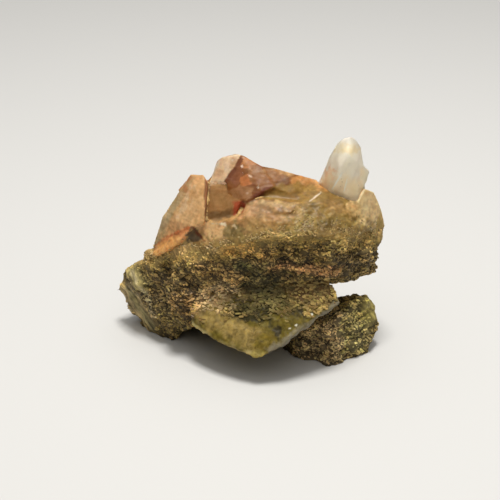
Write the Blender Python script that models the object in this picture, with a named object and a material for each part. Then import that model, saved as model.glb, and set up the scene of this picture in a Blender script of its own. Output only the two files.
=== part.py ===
"""A loose piece of epidote in quartz, about 59 mm wide, grown together as one solid.

Below is a granular epidote matrix: a pointed left end, a main body that overhangs on
the right, and a low lump that the piece stands on. A glassy wedge juts from its front,
and stained quartz crystals with one clear point grow on its top.

X runs to the right, Y away from the front and Z up. The numbers below are millimetres.
"""
import math

import bmesh
import bpy
from mathutils import Vector, noise

MM = 0.001
NODE_NAME = "epidote_quartz_cluster"

GRAIN_SIZE = 1.0        # cell of the remeshed matrix
LUMP_HEIGHT = 1.60      # how far the broad lumps stand out
LUMP_SPACING = 5.0
PIT_HEIGHT = 1.10       # how far the small knobs and pits stand out
PIT_SPACING = 2.3
MATRIX_TRIANGLES = 6000
SHORTEST_EDGE = 0.005   # shorter edges are merged away
STANDING_HEIGHT = 0.0   # the feet are cut flat at this height
GROUND_BLOCK_WIDTH = 120.0   # the block that cuts them
GROUND_BLOCK_DEPTH = 8.0

# The granular matrix, as rough convex blocks given by their corners
MATRIX_BLOCKS = {
    "left_end": [
        (-30.2, 14.5, 10.2), (-30.0, 15.0, 8.0), (-26.0, 10.6, 16.0), (-22.2, 8.8, 20.8),
        (-26.4, 14.0, 3.8), (-23.5, 12.5, -1.5), (-21.7, 9.4, -1.5), (-18.0, 9.0, -1.5),
        (-24.3, 8.2, 11.2), (-21.2, 6.4, 6.2), (-18.3, 5.0, 24.0), (-16.2, 2.6, 13.0),
        (-14.2, 4.0, 6.2), (-25.0, 18.5, 11.0), (-23.0, 17.5, -1.5), (-15.0, 19.0, 19.0),
        (-14.0, 19.0, 2.0),
    ],
    "left_front": [
        (-18.3, 5.0, 24.0), (-17.0, 1.2, 14.0), (-13.4, -1.0, 9.2), (-12.6, -1.0, 13.5),
        (-17.8, 7.8, -0.5), (-13.6, 5.0, 3.0), (-7.6, -0.8, 26.0), (-6.0, -0.6, 18.0),
        (-12.0, 10.0, 4.0), (-10.0, 10.0, 20.0),
    ],
    "main_body": [
        (-18.3, 5.2, 23.8), (-7.3, -0.9, 28.0), (3.1, -3.9, 31.2), (12.2, -4.6, 32.0),
        (16.5, -4.1, 30.4), (-16.2, 2.6, 13.0), (-14.2, 4.0, 6.5), (-5.0, 3.0, 8.0),
        (-6.0, -0.8, 17.4), (4.0, -2.4, 19.6), (15.5, -3.4, 20.6), (8.0, 2.0, 6.0),
        (-14.0, 20.0, 24.0), (0.0, 22.0, 26.0), (14.0, 20.5, 26.0), (-11.0, 19.0, -1.5), (-3.0, 13.0, -1.5),
        (4.0, 20.0, -1.5), (12.0, 16.0, 6.0),
    ],
    "right_overhang": [
        (12.2, -4.6, 32.0), (19.6, -2.8, 30.0), (28.6, 6.0, 24.0), (28.8, 7.5, 27.8),
        (12.0, -3.0, 20.5), (17.2, -3.8, 22.0), (18.6, -0.5, 18.0), (24.4, 4.0, 17.6),
        (27.6, 6.0, 18.0), (14.0, 20.0, 27.0), (24.0, 18.0, 28.0), (26.0, 16.0, 20.0),
        (16.0, 17.0, 14.0), (14.0, 4.0, 15.0),
    ],
    "standing_lump": [
        (24.8, 5.0, 13.1), (26.9, 6.0, 12.9), (18.9, 2.6, 9.9), (28.1, 5.0, 9.0),
        (28.0, 4.0, 6.2), (26.9, 1.5, 2.9), (25.2, 0.2, -1.5), (21.0, -2.4, -1.5),
        (16.6, -4.6, -1.5), (11.5, -1.8, -1.5), (6.0, 1.0, -1.5), (19.0, -1.6, 10.2),
        (19.8, -4.0, 4.8), (12.5, 0.5, 6.5), (24.0, 12.0, 7.0), (21.0, 14.0, -1.5),
        (26.5, 9.0, -1.5), (8.0, 14.0, -1.5), (11.0, 9.0, 6.0),
    ],
}

# Flat-faced quartz on the matrix, given in the same way
QUARTZ_BLOCKS = {
    "front_wedge": [
        (-12.8, -1.6, 12.0), (-10.6, 1.0, 14.5), (-4.5, 1.5, 17.4), (4.2, 0.0, 20.2),
        (13.0, -1.0, 20.8), (17.2, -3.2, 19.0), (19.0, -5.5, 16.2), (13.0, -8.4, 14.4),
        (9.3, -10.4, 11.2), (5.5, -11.6, 8.3), (2.5, -12.0, 6.8), (0.8, -11.7, 6.6),
        (-2.1, -10.6, 7.8), (-8.0, -7.0, 8.4), (-12.6, -2.6, 9.2), (-9.0, 7.0, 7.0),
        (0.0, 7.0, 6.0), (10.0, 7.0, 8.0), (14.0, 5.0, 13.0),
    ],
    "left_crystal": [
        (-21.5, 8.0, 21.0), (-18.8, 8.2, 29.6), (-15.3, 8.6, 34.7), (-12.6, 9.0, 39.2),
        (-9.9, 8.0, 39.5), (-8.8, 6.0, 38.7), (-9.3, 1.2, 33.4), (-9.6, 0.4, 32.0),
        (-11.7, 1.6, 30.6), (-19.0, 14.0, 20.0), (-16.4, 13.0, 28.5), (-12.4, 12.5, 35.6),
        (-9.8, 12.0, 37.0), (-9.0, 8.0, 26.0),
    ],
    "orange_facet": [
        (-21.9, 7.8, 20.6), (-11.7, 1.4, 30.4), (-14.6, 2.6, 26.5), (-18.2, 4.4, 22.9),
        (-21.0, 6.8, 20.4), (-14.0, 10.0, 24.0), (-11.0, 5.0, 26.0), (-20.0, 12.0, 20.0),
    ],
    "recessed_crystal": [
        (-9.4, 7.0, 37.9), (-3.4, 5.0, 38.6), (-9.8, 2.2, 31.5), (-3.6, 0.6, 32.0),
        (-2.0, 1.6, 36.0), (-8.0, 12.0, 38.0), (-1.0, 12.0, 38.0), (-9.0, 10.0, 27.0),
        (-2.0, 6.0, 26.0),
    ],
    "second_crystal": [
        (-8.4, 7.0, 38.4), (-5.9, 8.4, 43.3), (-2.1, 8.4, 44.0), (-5.0, 5.4, 39.0),
        (-8.6, 8.0, 33.0), (-4.6, 6.0, 33.0), (-7.0, 13.5, 40.5), (-3.0, 13.5, 42.0),
        (-8.0, 14.0, 33.0), (-3.0, 14.0, 33.0),
    ],
    "ridge_crystal": [
        (-1.7, 8.2, 44.0), (2.5, 6.6, 42.0), (-5.0, 5.2, 39.2), (-4.2, 3.0, 35.8),
        (-0.4, 1.2, 36.5), (2.5, 2.0, 38.2), (5.2, 3.2, 38.9), (-2.0, 3.0, 31.0),
        (4.0, 5.0, 32.0), (-2.0, 13.0, 40.5), (4.0, 12.0, 38.6),
    ],
    "ridge_slope": [
        (2.3, 6.8, 42.0), (5.2, 7.2, 41.3), (10.5, 8.2, 39.2), (14.2, 8.2, 38.2),
        (8.4, 5.6, 39.9), (5.2, 3.4, 38.8), (10.0, 2.6, 36.8), (4.0, 2.6, 36.4),
        (2.0, 15.0, 38.0), (12.0, 15.0, 35.5), (6.0, 6.0, 30.0),
    ],
    "smoky_facet": [
        (2.6, 3.0, 37.4), (8.6, 6.0, 39.2), (14.2, 7.8, 38.0), (10.6, 2.0, 36.4),
        (4.4, 0.6, 35.8), (-0.6, 1.4, 35.2), (3.0, 12.0, 36.0), (12.0, 13.0, 35.0),
        (4.0, 4.0, 30.0),
    ],
    "quartz_bed_left": [
        (-14.6, 2.9, 25.4), (-7.3, -1.4, 27.0), (3.1, -4.7, 30.8), (-9.6, 1.8, 31.4),
        (-3.8, 0.2, 32.4), (-1.0, -1.8, 34.2), (6.0, -2.2, 35.0), (9.0, -3.8, 33.8),
        (-12.0, 16.0, 29.0), (6.0, 18.0, 31.0), (0.0, 4.0, 24.0),
    ],
    "centre_rise": [
        (-2.8, -0.4, 33.4), (-0.6, 0.9, 36.1), (2.4, 1.5, 37.2), (5.0, 0.7, 36.9),
        (-1.0, -1.8, 34.2), (6.0, -1.8, 35.6), (8.8, -2.2, 35.6), (10.4, 0.8, 36.6),
        (0.0, 6.0, 33.0), (9.0, 6.0, 34.0), (2.0, 1.0, 31.0),
    ],
    "quartz_bed_right": [
        (3.1, -4.7, 30.8), (12.2, -5.5, 31.8), (19.6, -3.7, 29.6), (6.0, -2.2, 35.0),
        (10.3, 0.0, 36.2), (14.6, 1.0, 36.3), (14.2, 7.6, 38.2), (19.0, 2.6, 36.0),
        (23.5, 5.2, 35.0), (26.6, 5.0, 29.0), (8.0, 18.0, 30.0), (23.0, 16.5, 30.5),
        (14.0, 4.0, 24.0), (24.0, 8.0, 25.0),
    ],
    "right_lobe": [
        (24.3, 6.4, 37.0), (26.3, 7.6, 35.6), (28.1, 7.6, 31.3), (28.8, 8.0, 27.5),
        (28.2, 6.2, 24.4), (24.2, 2.6, 30.0), (22.6, 3.6, 35.0), (21.0, 9.0, 37.0),
        (26.0, 13.0, 33.0), (27.0, 14.0, 26.5), (20.0, 12.0, 28.0),
    ],
    "clear_point": [
        (14.3, 7.0, 37.6), (16.7, 6.8, 44.4), (18.2, 7.0, 47.2), (19.6, 7.4, 48.1),
        (20.8, 7.6, 48.3), (21.9, 7.8, 47.8), (23.2, 8.4, 45.6), (23.8, 8.4, 42.0), (24.4, 8.0, 36.4),
        (17.2, 4.4, 36.0), (20.5, 3.7, 35.0), (18.6, 4.0, 43.0), (20.4, 4.6, 45.6), (22.2, 5.0, 43.6),
        (22.6, 4.2, 34.6), (17.6, 12.0, 43.0), (20.6, 12.4, 45.2), (22.6, 12.2, 42.0),
        (16.0, 12.0, 35.0), (23.0, 12.5, 35.0),
    ],
    "clear_step": [
        (23.4, 7.0, 42.4), (25.1, 8.0, 40.4), (24.8, 8.0, 38.2), (23.8, 6.2, 37.0),
        (22.4, 6.0, 40.6), (22.6, 11.0, 41.0), (24.4, 11.0, 38.0), (22.0, 9.0, 36.0),
    ],
}

# Six-sided points on the back: foot, tip, radius, flatness across, turn about the axis
BACK_POINTS = {
    "back_point_left": ((-9.0, 12.0, 30.0), (-14.0, 22.5, 31.5), 4.2, 0.80, 15.0),
    "back_point_middle": ((1.0, 12.0, 31.0), (0.5, 24.0, 31.0), 5.0, 0.75, 40.0),
    "back_point_low": ((7.0, 13.0, 22.0), (9.0, 25.0, 20.5), 4.0, 0.85, 5.0),
    "back_point_right": ((17.0, 10.0, 31.0), (20.0, 21.5, 30.0), 4.4, 0.80, 25.0),
}
PYRAMID_SHARE = 0.32    # share of a back point's length that tapers to its tip
TIP_WIDTH = 0.12        # blunt end of that taper, as a share of the radius


def clear_scene():
    for old in list(bpy.data.objects):
        bpy.data.objects.remove(old, do_unlink=True)


def add_object(name, mesh):
    item = bpy.data.objects.new(name, mesh)
    bpy.context.scene.collection.objects.link(item)
    return item


def remove_object(item):
    mesh = item.data
    bpy.data.objects.remove(item, do_unlink=True)
    bpy.data.meshes.remove(mesh)


def convex_block(name, corners):
    """A closed block with flat faces round the given corners."""
    shape = bmesh.new()
    for corner in corners:
        shape.verts.new(Vector(corner) * MM)
    hull = bmesh.ops.convex_hull(shape, input=shape.verts)
    inner = set(hull["geom_interior"] + hull["geom_unused"])
    inner_points = [part for part in inner if isinstance(part, bmesh.types.BMVert)]
    bmesh.ops.delete(shape, geom=inner_points, context="VERTS")
    bmesh.ops.recalc_face_normals(shape, faces=shape.faces)
    mesh = bpy.data.meshes.new(name)
    shape.to_mesh(mesh)
    shape.free()
    return add_object(name, mesh)


def quartz_point(name, foot, tip, radius, flatness, turn):
    """A six-sided prism from foot towards tip that ends in a blunt pyramid."""
    foot = Vector(foot)
    axis = Vector(tip) - foot
    facing = axis.to_track_quat("Z", "Y")
    rings = ((0.0, 1.0), (1.0 - PYRAMID_SHARE, 0.94), (1.0, TIP_WIDTH))
    corners = []
    for along, width in rings:
        for side in range(6):
            angle = math.radians(turn + 60 * side)
            across = Vector((math.cos(angle), math.sin(angle) * flatness, 0)) * radius * width
            corners.append(foot + axis * along + facing @ across)
    return convex_block(name, corners)


def apply_modifiers(item):
    depsgraph = bpy.context.evaluated_depsgraph_get()
    finished = bpy.data.meshes.new_from_object(item.evaluated_get(depsgraph))
    item.modifiers.clear()
    old = item.data
    item.data = finished
    bpy.data.meshes.remove(old)


def combine_solids(item, other, operation="UNION"):
    step = item.modifiers.new("combine", "BOOLEAN")
    step.operation = operation
    step.solver = "EXACT"
    step.object = other
    apply_modifiers(item)
    remove_object(other)


def build_matrix():
    """The granular stone: blocks melted together, roughened and thinned out."""
    merged = bmesh.new()
    for name, corners in MATRIX_BLOCKS.items():
        block = convex_block(name, corners)
        merged.from_mesh(block.data)
        remove_object(block)
    mesh = bpy.data.meshes.new("matrix")
    merged.to_mesh(mesh)
    merged.free()
    matrix = add_object("matrix", mesh)

    melt = matrix.modifiers.new("melt", "REMESH")
    melt.mode = "VOXEL"
    melt.voxel_size = GRAIN_SIZE * MM
    apply_modifiers(matrix)
    roughen(matrix.data)

    thin = matrix.modifiers.new("thin", "DECIMATE")
    matrix.data.calc_loop_triangles()
    thin.ratio = min(1.0, MATRIX_TRIANGLES / len(matrix.data.loop_triangles))
    apply_modifiers(matrix)
    return matrix


def roughen(mesh):
    """Push each point along its normal by broad lumps and small pits."""
    normals = [point.vector.copy() for point in mesh.vertex_normals]
    for vertex, normal in zip(mesh.vertices, normals):
        place = vertex.co / MM
        lumps = noise.noise(place / LUMP_SPACING + Vector((3.1, 7.7, 1.9)))
        pits = noise.noise(place / PIT_SPACING + Vector((11.3, 2.9, 5.1)))
        vertex.co += normal * (lumps * LUMP_HEIGHT + pits * PIT_HEIGHT) * MM


def build_quartz():
    """All the flat-faced crystals, joined in one solid."""
    blocks = [convex_block(name, corners) for name, corners in QUARTZ_BLOCKS.items()]
    blocks += [quartz_point(name, *sizes) for name, sizes in BACK_POINTS.items()]
    quartz = blocks[0]
    for block in blocks[1:]:
        combine_solids(quartz, block)
    return quartz


def cut_feet(item):
    """Take away what reaches below the standing height, so that the feet are flat."""
    reach = GROUND_BLOCK_WIDTH / 2
    corners = [
        (x, y, z)
        for x in (-reach, reach)
        for y in (-reach, reach)
        for z in (STANDING_HEIGHT - GROUND_BLOCK_DEPTH, STANDING_HEIGHT)
    ]
    combine_solids(item, convex_block("ground", corners), "DIFFERENCE")


def fill_pockets(item):
    """Fill the small sealed pockets that the joined blocks left inside the stone."""
    shape = bmesh.new()
    shape.from_mesh(item.data)
    unseen = set(shape.verts)
    groups = []
    while unseen:
        group = set()
        frontier = [unseen.pop()]
        while frontier:
            vertex = frontier.pop()
            group.add(vertex)
            nearby = {edge.other_vert(vertex) for edge in vertex.link_edges} & unseen
            unseen -= nearby
            frontier.extend(nearby)
        groups.append(group)
    outer = max(groups, key=len)
    pockets = [vertex for vertex in shape.verts if vertex not in outer]
    bmesh.ops.delete(shape, geom=pockets, context="VERTS")
    shape.to_mesh(item.data)
    shape.free()


def tidy_solid(item):
    """Merge points that nearly meet, and leave only triangles that face outwards."""
    shape = bmesh.new()
    shape.from_mesh(item.data)
    bmesh.ops.remove_doubles(shape, verts=shape.verts, dist=SHORTEST_EDGE * MM)
    bmesh.ops.dissolve_degenerate(shape, edges=shape.edges, dist=SHORTEST_EDGE * MM)
    bmesh.ops.triangulate(shape, faces=shape.faces)
    bmesh.ops.recalc_face_normals(shape, faces=shape.faces)
    shape.to_mesh(item.data)
    shape.free()


def centre_over_origin(item):
    """Move the solid so that the origin is at the middle of its box, at its foot."""
    places = [vertex.co for vertex in item.data.vertices]
    middle = Vector((0, 0, STANDING_HEIGHT * MM))
    for axis in (0, 1):
        span = [place[axis] for place in places]
        middle[axis] = (min(span) + max(span)) / 2
    for vertex in item.data.vertices:
        vertex.co -= middle


def stone_material():
    material = bpy.data.materials.new("epidote_and_quartz")
    material.use_nodes = True
    shader = material.node_tree.nodes["Principled BSDF"]
    shader.inputs["Base Color"].default_value = (0.33, 0.22, 0.10, 1)
    shader.inputs["Roughness"].default_value = 0.55
    shader.inputs["Metallic"].default_value = 0.0
    return material


def build():
    clear_scene()
    cluster = build_matrix()
    combine_solids(cluster, build_quartz())
    cut_feet(cluster)
    fill_pockets(cluster)
    tidy_solid(cluster)
    centre_over_origin(cluster)
    cluster.name = NODE_NAME
    cluster.data.name = NODE_NAME
    cluster.data.materials.clear()
    cluster.data.materials.append(stone_material())


build()
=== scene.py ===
import math

import bmesh
import bpy
import numpy as np
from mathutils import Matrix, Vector


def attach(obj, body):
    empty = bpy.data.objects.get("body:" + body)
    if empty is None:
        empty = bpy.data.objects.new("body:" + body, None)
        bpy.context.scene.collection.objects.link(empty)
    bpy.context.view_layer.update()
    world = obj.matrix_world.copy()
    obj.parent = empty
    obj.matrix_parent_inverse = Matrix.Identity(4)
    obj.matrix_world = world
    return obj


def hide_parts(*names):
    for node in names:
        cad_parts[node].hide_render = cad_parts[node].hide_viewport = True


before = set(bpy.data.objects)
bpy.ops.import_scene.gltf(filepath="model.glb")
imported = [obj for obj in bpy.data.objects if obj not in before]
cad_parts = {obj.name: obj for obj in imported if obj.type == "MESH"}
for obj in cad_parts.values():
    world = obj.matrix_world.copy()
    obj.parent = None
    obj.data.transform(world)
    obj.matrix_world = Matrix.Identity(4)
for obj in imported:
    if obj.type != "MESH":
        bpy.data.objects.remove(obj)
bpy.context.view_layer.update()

# Places below are millimetres on the specimen: X right, Y away, Z up from the table
nodeName = "epidote_quartz_cluster"
mm = 0.001
designMiddle = (-0.7916, 6.5415)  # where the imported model's origin lies in those millimetres


def toFrame(place):
    return Vector(((place[0] - designMiddle[0]) * mm, (place[1] - designMiddle[1]) * mm, place[2] * mm))


def toDesign(points):
    return points / mm + np.array([designMiddle[0], designMiddle[1], 0.0])


studio = {
    "floorColour": (205, 204, 201),
    "skyColour": (240, 239, 237),
    "skyStrength": 1.12,
    "skyLow": 0.015,  # light from the sides, as a share of the light from above
    "lampPlace": (0.02, -0.02, 0.50),
    "lampSize": 0.12,
    "lampPower": 2.36,
    "lens": 90.0,
    "sensor": 36.0,
    "elevation": 27.0,
    "distance": 262.5,
    "target": (0.0, 0.0, 25.8),
}


# colours and noise

def linear(colour):  # 0-255 screen colour to the linear values that shaders take
    share = np.array(colour, dtype=float) / 255
    return np.where(share <= 0.04045, share / 12.92, ((share + 0.055) / 1.055) ** 2.4)


def softNoise(points, spacing, seed):  # smooth lattice noise, about -1 to 1
    cells = 64
    lattice = np.random.RandomState(seed).uniform(-1, 1, (cells, cells, cells))
    grid = points / spacing + 1000.0
    low = np.floor(grid).astype(int)
    part = grid - low
    part = part * part * (3 - 2 * part)
    total = np.zeros(len(points))
    for dx in (0, 1):
        for dy in (0, 1):
            for dz in (0, 1):
                weight = np.abs(1 - dx - part[:, 0]) * np.abs(1 - dy - part[:, 1]) * np.abs(1 - dz - part[:, 2])
                corner = (low + (dx, dy, dz)) % cells
                total += weight * lattice[corner[:, 0], corner[:, 1], corner[:, 2]]
    return total


def roughNoise(points, spacing, seed, layers=3):
    total = np.zeros(len(points))
    for layer in range(layers):
        total += softNoise(points, spacing / 2 ** layer, seed + layer) / 2 ** layer
    return total


def shards(points, spacing, seed):  # flat angular patches, -1 to 1, like the flaws inside a crystal
    cells = 32
    random = np.random.RandomState(seed)
    nudge = random.uniform(0, 1, (cells, cells, cells, 3))
    values = random.uniform(-1, 1, (cells, cells, cells))
    grid = points / spacing + 1000.0
    low = np.floor(grid).astype(int)
    nearest = np.full(len(points), 1e9)
    total = np.zeros(len(points))
    for shift in np.ndindex(3, 3, 3):
        place = low + np.array(shift) - 1
        cell = tuple((place % cells).T)
        distance = np.sum((place + nudge[cell] - grid) ** 2, axis=1)
        closer = distance < nearest
        nearest[closer] = distance[closer]
        total[closer] = values[cell][closer]
    return total


def smoothStep(low, high, value):
    share = np.clip((value - low) / (high - low), 0, 1)
    return share * share * (3 - 2 * share)


def zoneShare(points, zone):  # 1 inside a soft ragged blob or capsule, 0 outside
    start = np.array(zone["at"], dtype=float)
    along = np.array(zone.get("to", zone["at"]), dtype=float) - start
    length = float(along @ along)
    offset = points - start
    if length > 0:
        offset = offset - np.outer(np.clip(offset @ along / length, 0, 1), along)
    distance = np.linalg.norm(offset / np.array(zone["reach"]), axis=1)
    near = distance < 3.5
    share = np.zeros(len(points))
    spacing = zone.get("grain", 1.8)
    ragged = distance[near] + zone.get("ragged", 0.55) * roughNoise(points[near], spacing, zone["seed"], 4)
    soft = zone.get("soft", 0.45)
    share[near] = zone.get("strength", 1.0) * smoothStep(1 + soft, 1 - soft, ragged)
    return share


def facetShare(points, facet):  # 1 inside a straight-edged patch as the front shows it, 0 outside
    tilt = math.radians(studio["elevation"])
    middle = studio["target"][2] * math.cos(tilt)
    up = points[:, 2] * math.cos(tilt) + points[:, 1] * math.sin(tilt) - middle
    seen = np.column_stack([points[:, 0], up])
    corners = np.array(facet["outline"], dtype=float)
    along = np.roll(corners, -1, axis=0) - corners
    turned = np.column_stack([along[:, 1], -along[:, 0]]) / np.linalg.norm(along, axis=1)[:, None]
    reach = (corners - corners.mean(axis=0)) * turned
    turned *= np.sign(reach.sum(axis=1))[:, None]
    distance = np.max(seen @ turned.T - np.sum(corners * turned, axis=1), axis=1)
    near = (distance < 2) & (points[:, 1] < 11)
    share = np.zeros(len(points))
    ragged = distance[near] + facet.get("ragged", 0.2) * roughNoise(points[near], 1.1, facet["seed"], 3)
    soft = facet.get("soft", 0.15)
    share[near] = facet.get("strength", 1.0) * smoothStep(soft, -soft, ragged)
    return share


def addFacets(points, normals, colours, facets):
    facing = smoothStep(0.02, 0.22, normals @ np.array([0.0, -0.891, 0.454]))
    for facet in facets:
        share = (facetShare(points, facet) * facing)[:, None]
        colours = colours * (1 - share) + linear(facet["colour"]) * share
    return colours


def paintZones(points, base, zones):
    colours = np.tile(linear(base), (len(points), 1))
    for zone in zones:
        share = zoneShare(points, zone)[:, None]
        colours = colours * (1 - share) + linear(zone["colour"]) * share
    return colours


# mesh helpers

def makeObject(name, mesh):
    item = bpy.data.objects.new(name, mesh)
    bpy.context.scene.collection.objects.link(item)
    return item


def removeObject(item):
    mesh = item.data
    bpy.data.objects.remove(item, do_unlink=True)
    bpy.data.meshes.remove(mesh)


def applyModifiers(item):
    depsgraph = bpy.context.evaluated_depsgraph_get()
    finished = bpy.data.meshes.new_from_object(item.evaluated_get(depsgraph))
    item.modifiers.clear()
    old = item.data
    item.data = finished
    bpy.data.meshes.remove(old)


def voxelRemesh(item, cell):
    step = item.modifiers.new("melt", "REMESH")
    step.mode = "VOXEL"
    step.voxel_size = cell * mm
    applyModifiers(item)


def relax(item, rounds, factor=0.5):
    step = item.modifiers.new("relax", "SMOOTH")
    step.iterations = rounds
    step.factor = factor
    applyModifiers(item)


def combine(item, other, operation="UNION"):
    step = item.modifiers.new("combine", "BOOLEAN")
    step.operation = operation
    step.solver = "EXACT"
    step.object = other
    applyModifiers(item)
    removeObject(other)


def readPoints(mesh):
    flat = np.empty(len(mesh.vertices) * 3)
    mesh.vertices.foreach_get("co", flat)
    return flat.reshape(-1, 3)


def readNormals(mesh):
    flat = np.empty(len(mesh.vertices) * 3)
    mesh.vertex_normals.foreach_get("vector", flat)
    return flat.reshape(-1, 3)


def writePoints(mesh, points):
    mesh.vertices.foreach_set("co", points.ravel())
    mesh.update()


def writeColours(mesh, name, colours):
    colours = np.maximum(colours, 0) / np.maximum(1.0, colours.max(axis=1, keepdims=True))  # keeps the hue
    layer = mesh.attributes.new(name, "FLOAT_COLOR", "POINT")
    filled = np.ones((len(colours), 4))
    filled[:, :3] = colours
    layer.data.foreach_set("color", filled.ravel())


def writeValues(mesh, name, values):
    layer = mesh.attributes.new(name, "FLOAT", "POINT")
    layer.data.foreach_set("value", np.asarray(values, dtype=float))


def soften(mesh, share, rounds):  # evens out the marked part of a mesh
    ends = np.empty(len(mesh.edges) * 2, dtype=int)
    mesh.edges.foreach_get("vertices", ends)
    first, second = ends.reshape(-1, 2).T
    points = readPoints(mesh)
    count = np.bincount(ends, minlength=len(points))[:, None]
    for turn in range(rounds):
        total = np.zeros_like(points)
        np.add.at(total, first, points[second])
        np.add.at(total, second, points[first])
        points += (total / count - points) * share[:, None] * 0.6
    writePoints(mesh, points)


def shadeSmooth(item):
    item.data.polygons.foreach_set("use_smooth", [True] * len(item.data.polygons))
    item.data.update()


def hullMesh(name, corners):
    shape = bmesh.new()
    for corner in corners:
        shape.verts.new(toFrame(corner))
    hull = bmesh.ops.convex_hull(shape, input=shape.verts)
    inner = set(hull["geom_interior"] + hull["geom_unused"])
    bmesh.ops.delete(shape, geom=[v for v in inner if isinstance(v, bmesh.types.BMVert)], context="VERTS")
    bmesh.ops.recalc_face_normals(shape, faces=shape.faces)
    mesh = bpy.data.meshes.new(name)
    shape.to_mesh(mesh)
    shape.free()
    return mesh


def hullPlanes(corners):  # outward normals and offsets of a block's faces, in design millimetres
    mesh = hullMesh("planes", corners)
    normals = np.array([face.normal[:] for face in mesh.polygons])
    centres = toDesign(np.array([face.center[:] for face in mesh.polygons]))
    bpy.data.meshes.remove(mesh)
    return normals, np.sum(normals * centres, axis=1)


def depthOutside(points, blocks):  # distance outside the nearest block, negative inside it
    nearest = np.full(len(points), 1e9)
    for corners in blocks:
        normals, offsets = hullPlanes(corners)
        nearest = np.minimum(nearest, np.max(points @ normals.T - offsets, axis=1))
    return nearest


def quartzPoint(foot, tip, radius, flatness, turn, taper=0.32, blunt=0.12):
    foot = Vector(foot)
    axis = Vector(tip) - foot
    facing = axis.to_track_quat("Z", "Y")
    corners = []
    for along, width in ((0.0, 1.0), (1.0 - taper, 0.94), (1.0, blunt)):
        for side in range(6):
            angle = math.radians(turn + 60 * side)
            across = Vector((math.cos(angle), math.sin(angle) * flatness, 0)) * radius * width
            corners.append(tuple(foot + axis * along + facing @ across))
    return corners


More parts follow.
